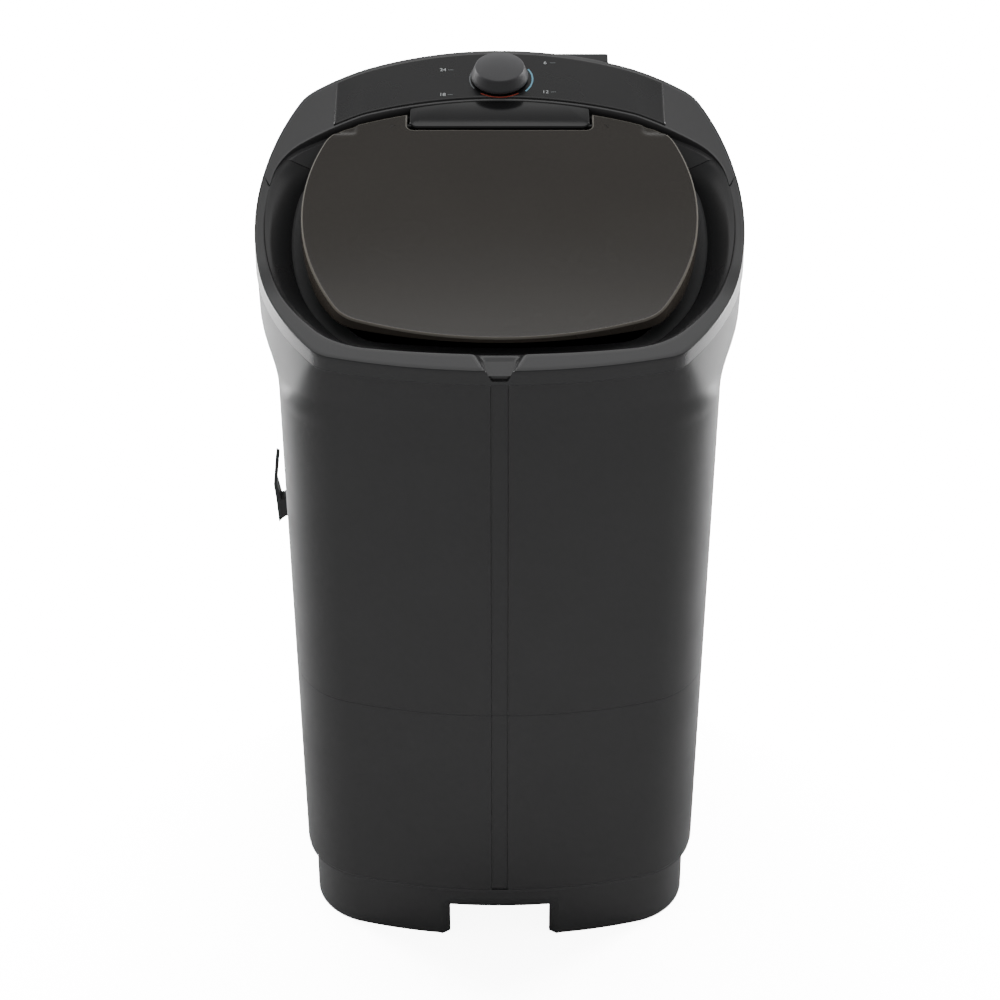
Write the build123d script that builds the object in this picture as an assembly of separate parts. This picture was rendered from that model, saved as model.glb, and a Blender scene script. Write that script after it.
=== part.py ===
from build123d import *
from dataclasses import dataclass
import math
import os

# Top-loading washing machine with a moulded cabinet, a smoked lid and a rear panel.
# X runs to the user's right, Y runs to the rear, Z up. The floor is z = 0.

# Cabinet and wash tub, one moulding
wall = 3.5
cabinet_bottom = 81.0
cabinet_top = 783.0
flare_bottom = 702.0
flare_level = 740.0
tub_floor_level = 345.0
tub_floor_wall = 4.0
side_draft = 0.75
front_draft = 0.32
channel_width = 18.0
channel_depth = 1.6
channel_top = 779.0

# How far the cabinet's sides have swung out at parts of the flare's lower rise
flare_steps = ((0.0, 0.0), (0.25, 0.15), (0.55, 0.62), (1.0, 1.0))

# Base ring
base_inset = 9.5
base_lift = 1.0
base_flange = 3.5
spigot_height = 18.0
spigot_wall = 3.0
notch_width = 115.0
notch_height = 47.0
notch_chamfer = 9.0
shelf_level = 4.0
shelf_thickness = 3.5

# Top frame
band_level = 801.0
rear_level = 887.0
bend_y = -95.0
bend_half = 31.0
end_steps = 5
corner_steps = 5
side_steps = 8
facet_height = 18.0
recess_run = 29.0
recess_drop = 22.0
frame_wall = 3.0
pocket_half = 178.0
pocket_front_y = 100.0
pocket_rear_y = 158.0
pocket_level = 836.0
edge_break = 1.4
collar_bottom = 760.0
funnel_width = 66.0
funnel_throat = 13.0
funnel_drop = 11.0

# Panel
panel_front_y = 48.0
panel_height = 26.0
panel_wall = 2.6
deck_tilt = 8.0
deck_half_width = 150.0
wing_half_width = 255.0
tray_depth = 26.0
tray_rim = 12.0
decal_half_width = 182.0
decal_thickness = 0.5
decal_margin = 2.5
tab_width = 198.0
tab_front_y = 126.5
tab_tilt = 11.5
tab_corner = 9.0
tab_height = 19.0

# Lid
lid_tilt = 11.5
lid_front_level = 798.0
lid_wall = 2.6
notch_gap = 2.5
lid_notch_y = 123.0
lid_skirt_level = 792.0
lid_skirt_bend = -115.0
lid_skirt_rear = 864.0
lid_break = 1.0
hinge_y = 131.5
hinge_drop = 2.9
lug_width = 10.0
lug_radius = 6.5
# A step in the lid's top beside the hinge, so that it can lean back past upright
relief_x = 160.5
relief_y = 120.0
relief_depth = 1.8
pin_radius = 2.0
pin_clearance = 0.05
fit_clearance = 0.02

# Running gear below the tub floor
shaft_x = 0.0
shaft_y = -4.0
shaft_radius = 6.0
shaft_clearance = 0.04
shaft_bottom = 162.0
bush_radius = 10.0
bush_height = 16.0
housing_bottom = 214.0
housing_radius = 15.0
housing_flange_radius = 34.0
housing_flange = 5.0
hole_clearance = 0.3
seal_height = 7.0
belt_level = 184.0
belt_width = 9.0
belt_height = 6.0
belt_gap = 0.3
large_pulley_radius = 75.0
small_pulley_radius = 20.0
groove_depth = 5.0
pulley_web = 5.0
rim_wall = 2.0
motor_x = 96.0
motor_y = 92.0
motor_radius = 60.0
motor_top = 314.0
motor_height = 104.0
motor_shaft_radius = 6.0
bracket_plate = 3.0

# Pulsator
pulsator_radius = 150.0
pulsator_lift = 3.5
pulsator_edge = 7.0
pulsator_crown = 34.0
pulsator_wall = 4.0
pulsator_vanes = 4
vane_height = 20.0
vane_width = 16.0
vane_bend = 14.0
vane_steps = 4

# Timer knob
knob_y = 207.5
knob_base_radius = 32.0
knob_top_radius = 26.4
knob_height = 20.0
knob_gap = 0.8
knob_shaft_radius = 3.0
timer_size = (56.0, 44.0, 26.0)

# Screws, feet and gaps
base_reveal = 0.8
seam_gap = 0.3
tab_step = 0.6
tab_bore = 9.0
tray_front_y = 112.0
panel_boss_radius = 5.5
panel_screw_x = 120.0
panel_screw_y = 212.0
nub_x = 212.0
nub_y = 189.0
timer_screw_x = 20.0
knob_flat = 1.6
frame_screw_places = (-70.0, 70.0)
frame_screw_level = 768.0
frame_boss_radius = 7.0
frame_boss_y = 255.4
frame_tab_front = 239.0
frame_tab_rear = 244.8
frame_tab_half = 8.0
frame_tab_low = 758.0
rest_x = 75.0
rest_half = 14.0
rest_reach = 16.0
rest_thickness = 5.0
base_screw_places = (-95.0, 0.0, 95.0)
base_screw_level = 90.0
foot_x = 172.0
foot_front_y = -176.0
foot_rear_y = 158.0
screw_radius = 2.0
screw_head_radius = 4.0
screw_head = 2.6
head_sides = 8
shank_sides = 6
round_sides = 20
knob_sides = 36
wheel_sides = 28
pulsator_sides = 28
pipe_sides = 12
hole_sides = 10
foot_radius = 16.0
contact_gap = 0.3
wall_fit = 0.08
seat_depth = 0.1

# Floor ribs, drain, gland and inlet
floor_ribs = 6
rib_start = 40.0
rib_end = 205.0
rib_width = 3.0
rib_height = 12.0
rib_angle = 112.5
rib_step = 45.0
drain_x = -120.0
drain_y = 150.0
drain_flange_radius = 24.0
drain_neck_radius = 17.0
outlet_radius = 12.0
outlet_level = 150.0
outlet_bend = 30.0
pipe_wall = 2.0
elbow_steps = 3
outlet_end_y = 261.0
gland_x = 130.0
gland_level = 170.0
gland_radius = 12.0
gland_neck_radius = 8.0
gland_bore_radius = 4.2
terminal_x = 70.0
inlet_left = 60.0
inlet_right = 122.0
inlet_rear_y = 259.5
inlet_top = 884.0
inlet_height = 34.0
inlet_bore_x = 102.0
inlet_bore_level = 866.0
inlet_bore_radius = 6.5

# Running gear details
nut_thread_radius = 5.0
nut_height = 7.0
pulsator_hub_radius = 24.0
bracket_foot = 16.0
capacitor_radius = 20.0
capacitor_height = 78.0
capacitor_x = -88.0
capacitor_y = -92.0

# Lint filter and hose clip
filter_bottom = 560.0
filter_height = 125.0
filter_half = 46.0
filter_thickness = 4.0
filter_play = 0.4
clip_y = 60.0
clip_low = 381.0
clip_height = 94.0
clip_width = 18.0
clip_reach = 26.0


@dataclass
class Oval:
    """A rounded outline: four shallow arcs that meet in rounded corners."""

    half_width: float
    front: float
    rear: float
    widest_y: float
    front_radius: float
    side_radius: float
    rear_radius: float
    front_corner: float
    rear_corner: float


RIM = Oval(262.5, 262.5, 262.5, 0.0, 600.0, 390.0, 340.0, 35.0, 55.0)
RECESS = Oval(252.0, 231.0, 169.5, 0.0, 800.0, 310.0, 400.0, 90.0, 70.0)
LID = Oval(212.0, 197.0, 160.0, -5.0, 440.0, 290.0, 440.0, 45.0, 45.0)
BODY_FOOT = Oval(229.0, 254.0, 246.0, 0.0, 580.0, 2400.0, 430.0, 84.0, 76.0)
FLARE = Oval(260.0, 257.6, 256.0, 0.0, 580.0, 450.0, 375.0, 60.0, 60.0)
SHOULDER = Oval(261.5, 258.2, 261.0, 0.0, 600.0, 392.0, 340.0, 35.0, 55.0)


def body_oval(level):
    """The cabinet's outline at a height: it widens upward by its draft."""
    rise = level - cabinet_bottom
    side = rise * math.tan(math.radians(side_draft))
    ends = rise * math.tan(math.radians(front_draft))
    foot = BODY_FOOT
    return Oval(foot.half_width + side, foot.front + ends, foot.rear + ends, foot.widest_y,
                foot.front_radius, foot.side_radius, foot.rear_radius,
                foot.front_corner, foot.rear_corner)


def crossing(centre_a, radius_a, centre_b, radius_b, sign):
    """Where two circles meet, on the right and towards the front or the rear."""
    span = centre_b - centre_a
    reach = span.length
    along = (reach * reach + radius_a * radius_a - radius_b * radius_b) / (2 * reach)
    off = math.sqrt(radius_a * radius_a - along * along)
    unit = span / reach
    across = Vector(-unit.Y, unit.X, 0)
    base = centre_a + unit * along
    points = [base + across * off, base - across * off]
    return max(points, key=lambda p: p.X if p.Y * sign > 0 else -1e6)


def heading(start, end):
    return math.atan2(end.Y - start.Y, end.X - start.X)


def plan_points(oval, grow=0.0):
    """Points round the outline, moved outward by grow, always as many and in one order.

    Each arc keeps its centre when the outline grows, so the points of two
    outlines match one to one.
    """
    front = Vector(0, oval.front_radius - oval.front, 0)
    side = Vector(oval.half_width - oval.side_radius, oval.widest_y, 0)
    rear = Vector(0, oval.rear - oval.rear_radius, 0)
    near = crossing(side, oval.side_radius - oval.front_corner,
                    front, oval.front_radius - oval.front_corner, -1)
    far = crossing(side, oval.side_radius - oval.rear_corner,
                   rear, oval.rear_radius - oval.rear_corner, 1)
    quarter = math.pi / 2
    arcs = [(front, oval.front_radius, -quarter, heading(front, near), end_steps),
            (near, oval.front_corner, heading(front, near), heading(side, near), corner_steps),
            (side, oval.side_radius, heading(side, near), heading(side, far), side_steps),
            (far, oval.rear_corner, heading(side, far), heading(rear, far), corner_steps),
            (rear, oval.rear_radius, heading(rear, far), quarter, end_steps)]
    right = []
    for centre, radius, start, end, steps in arcs:
        for step in range(steps):
            angle = start + (end - start) * step / steps
            right.append((centre.X + (radius + grow) * math.cos(angle),
                          centre.Y + (radius + grow) * math.sin(angle)))
    right.append((0.0, oval.rear + grow))
    left = [(-x, y) for x, y in reversed(right[1:-1])]
    return right + left


def outline(oval, grow=0.0, level=0.0):
    """The outline as a flat face at a height, moved outward by grow."""
    points = plan_points(oval, grow)
    return Pos(0, 0, level) * make_face(Polyline(points + [points[0]]))


def prism(oval, grow, low, high):
    """The outline as an upright block from low to high."""
    return extrude(outline(oval, grow, low), high - low)


def flat(points):
    return make_face(Polyline(points + [points[0]]))


def skin(rings):
    """A solid with flat facets through rings of points, closed by its first and last ring."""
    faces = [flat(rings[0]), flat(rings[-1])]
    for low, high in zip(rings, rings[1:]):
        for index in range(len(low)):
            after = (index + 1) % len(low)
            a, b, c, d = low[index], low[after], high[after], high[index]
            across = (Vector(b) - Vector(a)).cross(Vector(d) - Vector(a))
            level = abs(across.normalized().dot(Vector(c) - Vector(a)))
            if level < 1e-5:
                faces.append(flat([a, b, c, d]))
            else:
                faces.append(flat([a, b, c]))
                faces.append(flat([a, c, d]))
    solid = Solid(Shell(faces))
    return solid if solid.volume > 0 else Solid(solid.wrapped.Reversed())


def plan_ring(oval, grow, height):
    """Outline points in space; height is a level or a function of y."""
    if callable(height):
        return [(x, y, height(y)) for x, y in plan_points(oval, grow)]
    return [(x, y, height) for x, y in plan_points(oval, grow)]


def rim_level(y):
    """Height of the rim line: level at the front, a soft bend, then straight up."""
    rise = (rear_level - band_level) / (RIM.rear - bend_y)
    start = bend_y - bend_half
    if y <= start:
        return band_level
    if y >= bend_y + bend_half:
        return band_level + (y - bend_y) * rise
    return band_level + rise * (y - start) ** 2 / (4 * bend_half)


def side_block(points, half_width=300.0):
    """A block whose side view, seen along X, is the polygon of (y, z) points."""
    face = make_face(Polyline([(y, z) for y, z in points] + [points[0]]))
    return extrude(Plane.YZ * face, half_width, both=True)


def under_rim(drop, low):
    """Everything below the rim line lowered by drop, down to low."""
    stops = [-300.0] + [bend_y + bend_half * part for part in (-1, -0.5, 0, 0.5, 1)] + [300.0]
    line = [(y, rim_level(y) - drop) for y in stops]
    return side_block([(-300.0, low)] + line + [(300.0, low)])


def over_rim(drop):
    """Everything above the rim line lowered by drop."""
    return Pos(0, 0, 800) * Box(640, 640, 600) - under_rim(drop, 300.0)


def deck_level(y):
    """Height of the middle of the panel's deck."""
    return rear_level - (RIM.rear - y) * math.tan(math.radians(deck_tilt))


def deck_plane(y):
    """Plane that lies on the deck at the given y, with its normal upward."""
    tilt = math.radians(deck_tilt)
    return Plane(origin=(0, y, deck_level(y)), x_dir=(1, 0, 0),
                 z_dir=(0, -math.sin(tilt), math.cos(tilt)))


def lid_level(y):
    """Height of the lid's top face."""
    return lid_front_level + (y + LID.front) * math.tan(math.radians(lid_tilt))


def between(first, second, share):
    """An outline part of the way from the first to the second."""
    def mix(name):
        a, b = getattr(first, name), getattr(second, name)
        if name in ("front_radius", "side_radius", "rear_radius"):
            return 1 / (1 / a + (1 / b - 1 / a) * share)
        return a + (b - a) * share

    return Oval(*[mix(name) for name in Oval.__dataclass_fields__])


def taper_block(low, high, grow):
    """The cabinet's straight part between two heights, moved outward by grow."""
    return skin([plan_ring(body_oval(level), grow, level) for level in (low, high)])


def flare_block(grow):
    """The cabinet's upper part: its sides swing out to meet the top frame."""
    waist = body_oval(flare_bottom)
    rise = flare_level - flare_bottom
    rings = [plan_ring(between(waist, FLARE, share), grow, flare_bottom + rise * part)
             for part, share in flare_steps]
    return skin(rings + [plan_ring(SHOULDER, grow, cabinet_top)])


def bar(radius, low, high, sides, x=0.0, y=0.0):
    """An upright bar with flat sides between two heights."""
    return Pos(x, y, low) * extrude(RegularPolygon(radius, sides), high - low)


def turned(profile, sides, x=0.0, y=0.0):
    """A turned form with flat sides from its half profile of (radius, height) points."""
    faces = []
    loop = list(zip(profile, profile[1:] + profile[:1]))
    for (r0, z0), (r1, z1) in loop:
        if r0 == 0 and r1 == 0:
            continue
        for side in range(sides):
            start = 2 * math.pi * side / sides
            end = 2 * math.pi * (side + 1) / sides
            ends = [(r0, start, z0), (r0, end, z0), (r1, end, z1), (r1, start, z1)]
            if r0 == 0:
                ends = ends[1:]
            if r1 == 0:
                ends = ends[:3]
            faces.append(flat([(x + r * math.cos(a), y + r * math.sin(a), z)
                               for r, a, z in ends]))
    solid = Solid(Shell(faces))
    return solid if solid.volume > 0 else Solid(solid.wrapped.Reversed())


def screw(length, head_radius=screw_head_radius, radius=screw_radius):
    """A screw that points down from z = 0; its head and shank have flat sides."""
    return bar(head_radius, 0, screw_head, head_sides) + bar(radius, -length, 0, shank_sides)


def screw_hole(radius, low, high, x=0.0, y=0.0):
    return bar(radius, low, high, shank_sides, x, y)


def post(radius, low, high, x=0.0, y=0.0):
    """An upright round bar between two heights."""
    body = Cylinder(radius, high - low, align=(Align.CENTER, Align.CENTER, Align.MIN))
    return Pos(x, y, low) * body


def slab(x0, x1, y0, y1, z0, z1):
    """A block between two corners."""
    middle = ((x0 + x1) / 2, (y0 + y1) / 2, (z0 + z1) / 2)
    return Pos(*middle) * Box(x1 - x0, y1 - y0, z1 - z0)


def save(name, part):
    """Write one piece and print what it holds."""
    export_step(part, f"parts/{name}.step")
    print(name, round(part.volume), len(part.solids()))


def outline_at(points, place, axis):
    """The outline's other coordinate at a place on the given axis (0 for X, 1 for Y).

    Takes the face that lies furthest to the rear or to the right.
    """
    other = 1 - axis
    hits = []
    for a, b in zip(points, points[1:] + points[:1]):
        low, high = sorted((a[axis], b[axis]))
        if low <= place <= high and high > low:
            share = (place - a[axis]) / (b[axis] - a[axis])
            hits.append(a[other] + (b[other] - a[other]) * share)
    return max(hits)


def body_rear(x, level):
    """Y of the cabinet's rear face."""
    return outline_at(plan_points(body_oval(level)), x, 0)


def body_side(y, level):
    """X of the cabinet's side face, on the right."""
    return outline_at(plan_points(body_oval(level)), y, 1)


def along_y(shape):
    """Turns an upright shape so that its top points to the rear."""
    return Rot(-90, 0, 0) * shape


# Cabinet with the wash tub

def tub_body():
    floor_low = tub_floor_level - tub_floor_wall
    part = taper_block(cabinet_bottom, flare_bottom, 0) + flare_block(0)
    part += wall_bosses()
    part -= taper_block(tub_floor_level, flare_bottom, -wall) + flare_block(-wall)
    part -= taper_block(cabinet_bottom - 5, floor_low, -wall)
    part -= channel_cut()
    part -= bar(housing_radius + hole_clearance, floor_low - 1, tub_floor_level + 1,
                round_sides, shaft_x, shaft_y)
    part -= bar(drain_neck_radius + hole_clearance, floor_low - 1, tub_floor_level + 1,
                round_sides, drain_x, drain_y)
    for turn in range(floor_ribs):
        rib = slab(rib_start, rib_end, -rib_width / 2, rib_width / 2,
                   floor_low - rib_height, floor_low + 1)
        part += Pos(shaft_x, shaft_y, 0) * Rot(0, 0, rib_angle + turn * rib_step) * rib
    for x, y in bracket_bolt_places():
        part -= screw_hole(screw_radius + fit_clearance, floor_low - 1, floor_low + 3,
                           motor_x + x, motor_y + y)
    part -= along_y_hole(drain_x, outlet_level, outlet_radius + 3 * hole_clearance, hole_sides)
    part -= along_y_hole(gland_x, gland_level, gland_neck_radius + hole_clearance, hole_sides)
    for x in base_screw_places:
        part -= along_y_hole(x, base_screw_level, screw_radius + hole_clearance)
        part -= Pos(x, base_seat_y(x), base_screw_level) * along_y(
            bar(screw_head_radius + hole_clearance, 0, 20, head_sides))
    for x in frame_screw_places:
        part -= along_y_hole(x, frame_screw_level, screw_radius + hole_clearance)
    return part


def base_seat_y(x):
    """Y of the flat seat that a base screw's head lies on."""
    return body_rear(abs(x) + screw_head_radius + hole_clearance, base_screw_level) - seat_depth


def wall_bosses():
    """Flat round seats on the rear wall for the top frame's screws."""
    low = frame_tab_rear + contact_gap
    bosses = [Pos(x, low, frame_screw_level) * along_y(
        bar(frame_boss_radius, 0, frame_boss_y - low, hole_sides))
        for x in frame_screw_places]
    return bosses[0] + bosses[1]


def channel_cut():
    """The shallow channel down the middle of the front, one depth all the way."""
    low = cabinet_bottom - 5
    outer = taper_block(low, flare_bottom, 5) + flare_block(5)
    inner = taper_block(low - 1, flare_bottom, -channel_depth) + flare_block(-channel_depth)
    half = channel_width / 2
    return (outer - inner) & slab(-half, half, -300, 0, low - 1, channel_top)


def along_y_hole(x, level, radius, sides=shank_sides):
    """A hole with flat sides through the cabinet's rear wall."""
    start = body_rear(x, level) - 24
    return Pos(x, start, level) * along_y(bar(radius, 0, 48, sides))


# Base

def base_skirt():
    low = base_lift
    flange_low = cabinet_bottom - base_flange
    spigot_top = cabinet_bottom + spigot_height
    inner = -wall - contact_gap
    part = prism(BODY_FOOT, -base_inset, low, flange_low + 1)
    part -= prism(BODY_FOOT, -base_inset - wall, low - 1, flange_low)
    part += prism(BODY_FOOT, -base_reveal, flange_low, cabinet_bottom)
    part += prism(BODY_FOOT, inner, cabinet_bottom, spigot_top)
    part -= prism(BODY_FOOT, inner - spigot_wall, cabinet_bottom, spigot_top + 1)
    part -= prism(BODY_FOOT, -base_inset - wall, flange_low - 1, cabinet_bottom + 1)
    part -= notch_block()
    part += corner_shelves()
    for x in base_screw_places:
        part -= along_y_hole(x, base_screw_level, screw_radius + fit_clearance)
    return part


def corner_shelves():
    """Plates in the base's four corners that the feet sit under."""
    top = shelf_level + shelf_thickness
    field = prism(BODY_FOOT, -base_inset - wall / 2, shelf_level, top)
    margin = foot_radius + 6
    low, high = shelf_level - 5, top + 5
    keep = slab(-300, 300, -300, foot_front_y + margin, low, high)
    keep += slab(-300, 300, foot_rear_y - margin, 300, low, high)
    keep -= slab(margin - foot_x, foot_x - margin, -300, 300, low - 1, high + 1)
    return field & keep


def notch_block():
    """The opening in the middle of the base's front, wider at its chamfered foot."""
    half = notch_width / 2
    wide = half + notch_chamfer
    low = base_lift - 1
    bevel = base_lift + notch_chamfer * 0.6
    top = base_lift + notch_height
    points = [(-wide, low), (-half, bevel), (-half, top), (half, top), (half, bevel), (wide, low)]
    face = make_face(Polyline(points + [points[0]]))
    return Pos(0, -BODY_FOOT.front + 60, 0) * extrude(Plane.XZ * face, 80)


def foot_places():
    return [(x, y) for x in (-foot_x, foot_x) for y in (foot_front_y, foot_rear_y)]


def rubber_feet():
    feet = []
    for x, y in foot_places():
        feet.append(turned([(0, 0), (foot_radius - 1, 0), (foot_radius, 1),
                            (foot_radius, shelf_level), (0, shelf_level)], hole_sides, x, y))
    return Compound(children=feet)


def base_screws():
    screws = []
    for x in base_screw_places:
        place = Pos(x, base_seat_y(x), base_screw_level)
        screws.append(place * along_y(screw(wall + spigot_wall)))
    return Compound(children=screws)


# Top frame

def frame_form(grow, drop, hole_grow):
    """The rim's block with its sloped recess, the walls moved by the given amounts."""
    low = collar_bottom - 10
    part = prism(RIM, grow, low, rear_level + 40) & under_rim(drop, low)
    if drop == 0:
        part &= broken_edge(RIM, rim_level, edge_break)
    return part - recess_cut(hole_grow, drop)


def broken_edge(oval, level_at, size):
    """A cover that takes a block's sharp top edge off with a slanted face all round."""
    out, inner = 6, 8
    return skin([plan_ring(oval, out, 600),
                 plan_ring(oval, out, lambda y: level_at(y) - size - out),
                 plan_ring(oval, -inner, lambda y: level_at(y) + inner - size),
                 plan_ring(oval, -inner, 1000)])


def recess_cut(grow, drop):
    """The space round the lid: a slope down from the rim line, then a straight well."""
    well = grow - recess_run
    past = 4.0
    steep = recess_drop / recess_run
    return skin([plan_ring(RECESS, well, 600),
                 plan_ring(RECESS, well, lambda y: rim_level(y) - drop - recess_drop),
                 plan_ring(RECESS, grow + past, lambda y: rim_level(y) - drop + past * steep),
                 plan_ring(RECESS, grow + past, 1000)])


def frame_hollow(grow):
    """The space below the frame's wall, moved outward by grow."""
    inset = grow - frame_wall
    form = frame_form(inset, -inset, -inset)
    split = panel_front_y - frame_wall
    low = collar_bottom - 15
    front = form & slab(-300, 300, -300, split + grow, low, 1000)
    rear = form & slab(-300, 300, split + grow, 300, low, 1000)
    rear &= under_rim(panel_height - inset, low)
    around = crescent(-inset - tray_rim, inset + tray_rim, tray_front_y + inset, low, 1000)
    rear -= around & over_rim(panel_height + tray_depth - inset)
    return front + rear


def crescent(grow_out, grow_in, front_y, low, high):
    """The panel's plan: the rim's rear outside the recess, behind front_y."""
    field = prism(RIM, grow_out, low, high) - prism(RECESS, grow_in, low - 1, high + 1)
    return field & slab(-300, 300, front_y, 300, low, high)


def top_frame():
    facet_low = band_level - facet_height
    collar = frame_wall - recess_run
    part = frame_form(0, 0, 0) - slab(-300, 300, -300, 300, 600, collar_bottom)
    part -= prism(RIM, 5, 600, facet_low) - prism(RECESS, collar, 599, facet_low + 1)
    part -= frame_hollow(0)
    part -= crescent(5, 0, panel_front_y, 700, 1000) & over_rim(panel_height)
    tray = crescent(-tray_rim, tray_rim, tray_front_y, 700, 1000)
    part -= tray & over_rim(panel_height + tray_depth)
    part -= hinge_pocket()
    part -= funnel_cut()
    part += seat_ribs()
    for x in frame_screw_places:
        part += frame_tab(x)
        part -= along_y_hole(x, frame_screw_level, screw_radius + fit_clearance)
    for x, y in panel_screw_places():
        hole = screw_hole(screw_radius + hole_clearance, -20, 20)
        part -= tray_plane(x, y).location * hole
    return part + lid_rests()


def lid_rests():
    """Two small ledges on the collar that the closed lid's skirt comes down on."""
    top = lid_skirt_level - contact_gap
    rear = rest_reach - RECESS.front + recess_run
    ledges = None
    for side in (-1, 1):
        x = side * rest_x
        ledge = slab(x - rest_half, x + rest_half, rear - 2 * rest_reach, rear,
                     top - rest_thickness, top)
        ledge += slab(x - 2, x + 2, rear - 2 * rest_reach, rear - rest_reach * 0.6,
                      top - 3 * rest_thickness, top)
        ledges = ledge if ledges is None else ledges + ledge
    return ledges & prism(RECESS, 1 - recess_run, 700, 900)


def hinge_pocket():
    """Room behind the hinge for the lid's rear edge when the lid stands open."""
    room = slab(-pocket_half, pocket_half, pocket_front_y, pocket_rear_y, pocket_level, 1000)
    half = tab_width / 2 + contact_gap
    low = tab_level(tab_front_y) - tab_height - contact_gap
    return room + slab(-half, half, pocket_front_y, RECESS.rear, low, 1000)


def funnel_cut():
    """The pouring notch in the middle of the front: wide inside, narrow at its throat."""
    inner_y = -RECESS.front + 4
    outer_y = -RIM.front - 2
    throat_y = -RIM.front + 9
    low = band_level - funnel_drop
    half_in = funnel_width / 2
    half_out = funnel_throat / 2
    points = [(-half_in, inner_y), (half_in, inner_y), (half_out + 1.5, throat_y),
              (half_out, outer_y), (-half_out, outer_y), (-half_out - 1.5, throat_y)]
    foot = [(x * 0.55, y, low) for x, y in points]
    return skin([foot, [(x, y, band_level + 1) for x, y in points]])


def seat_ribs():
    """Ribs inside the frame that stand on the cabinet's top edge."""
    ribs = None
    for x, y, turn in seat_places():
        rib = Pos(x, y, 0) * Rot(0, 0, turn) * slab(-2, 2, -7, 7, cabinet_top, 1000)
        ribs = rib if ribs is None else ribs + rib
    return ribs & frame_hollow(0.8)


def seat_places():
    """Centres of the seat ribs over the cabinet's wall, with their turn."""
    top = body_oval(cabinet_top)
    places = []
    for x in (-110, 110):
        sag = x * x / (2 * top.front_radius)
        places.append((x, -top.front + wall / 2 + sag, 0))
        sag = x * x / (2 * top.rear_radius)
        places.append((x, top.rear - wall / 2 - sag, 0))
    for side in (-1, 1):
        for y in (-110, 20):
            places.append((side * (body_side(y, cabinet_top) - wall / 2), y, 90))
    return places


def frame_tab(x):
    """A tongue that hangs inside the cabinet's rear wall and takes a screw."""
    half = frame_tab_half
    step = cabinet_top + 3
    tongue = slab(x - half, x + half, frame_tab_front, frame_tab_rear, frame_tab_low, step + 14)
    root = slab(x - half, x + half, frame_tab_front, RIM.rear, step, step + 14)
    return (tongue + root) & prism(RIM, -frame_wall / 2, 700, 900)


def frame_screws():
    screws = []
    length = frame_boss_y - frame_tab_front - 2
    for x in frame_screw_places:
        screws.append(Pos(x, frame_boss_y, frame_screw_level) * along_y(screw(length)))
    return Compound(children=screws)


# Control panel

def deck_block(drop):
    """Everything below the panel's top surface, lowered by drop.

    The middle follows the deck's slope. From there each wing turns down to
    the rim line, which it meets at the outer edge.
    """
    low = 700.0
    near = 30.0
    far = 290.0

    def side(level_at, x):
        return [(x, near, low), (x, far, low), (x, far, level_at(far) - drop),
                (x, near, level_at(near) - drop)]

    block = skin([side(deck_level, -deck_half_width), side(deck_level, deck_half_width)])
    for sign in (-1, 1):
        block += skin([side(deck_level, sign * deck_half_width),
                       side(rim_level, sign * wing_half_width),
                       side(rim_level, sign * (wing_half_width + 30))])
    return block


def control_panel():
    field = crescent(0, 0, panel_front_y + seam_gap, 700, 1000)
    inside = crescent(-panel_wall, panel_wall, panel_front_y + panel_wall, 700, 1000)
    above_seat = over_rim(panel_height)
    part = (field & deck_block(0)) & above_seat
    hollow = (inside & deck_block(panel_wall)) & over_rim(panel_height + 1)
    part -= hollow
    for x, y in panel_screw_places():
        boss = bar(panel_boss_radius, deck_level(y) - 70, deck_level(y) - panel_wall + 0.5,
                   hole_sides, x, y)
        boss &= over_rim(panel_height + tray_depth)
        part += boss
        part -= tray_plane(x, y).location * screw_hole(screw_radius + fit_clearance, -1, 16)
    plane = deck_plane(knob_y)
    part -= plane.location * bar(knob_shaft_radius + 1, -20, 20, hole_sides)
    for side in (-1, 1):
        part -= plane.location * Pos(side * timer_screw_x, 0, 0) * screw_hole(
            screw_radius + hole_clearance, -20, 20)
    part += panel_nub()
    part -= inlet_bore()
    return part


def panel_nub():
    """A small lug on the panel's outer wall at the rear right."""
    x, y = nub_x, nub_y
    nub = Pos(x, y, rim_level(y) - 9) * Rot(0, 0, 42) * Box(9, 8, 12)
    return nub - prism(RIM, -panel_wall / 2, 700, 1000)


def panel_screw_places():
    return [(x, panel_screw_y) for x in (-panel_screw_x, panel_screw_x)]


def tray_plane(x, y):
    """Plane on the tray's floor, with its normal upward."""
    slope = (rear_level - band_level) / (RIM.rear - bend_y)
    level = rim_level(y) - panel_height - tray_depth
    return Plane(origin=(x, y, level), x_dir=(1, 0, 0), z_dir=Vector(0, -slope, 1))


def panel_screws():
    screws = []
    for x, y in panel_screw_places():
        turned = Pos(0, 0, -frame_wall) * Rot(180, 0, 0) * screw(14)
        screws.append(tray_plane(x, y).location * turned)
    return Compound(children=screws)


def panel_decal():
    field = crescent(-decal_margin, decal_margin, 60, 700, 1000)
    field &= slab(-decal_half_width, decal_half_width, 60, 300, 700, 1000)
    part = field & (deck_block(-decal_thickness) - deck_block(0))
    plane = deck_plane(knob_y)
    part -= plane.location * bar(knob_base_radius - 1, -5, 5, hole_sides)
    return part


def tab_level(y):
    """Height of the tab's top face."""
    edge = RECESS.rear
    return deck_level(edge) - tab_step - (edge - y) * math.tan(math.radians(tab_tilt))


def panel_tab():
    half = tab_width / 2
    plan = slab(-half, half, tab_front_y, RECESS.rear + 5, 800, 900)
    corners = plan.edges().filter_by(Axis.Z).group_by(Axis.Y)[0]
    plan = chamfer(corners, tab_corner * 0.5)
    near, far = tab_front_y - 10, RECESS.rear + 20
    part = plan & side_block([(near, tab_level(near)), (far, tab_level(far)),
                              (far, tab_level(far) - tab_height),
                              (near, tab_level(near) - tab_height)])
    part &= prism(RECESS, 0, 700, 1000)
    bore_radius = pin_radius + pin_clearance
    for side in (-1, 1):
        part -= hinge_bar(bore_radius, side * (half + 1), side * (half - tab_bore))
    return part


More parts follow.
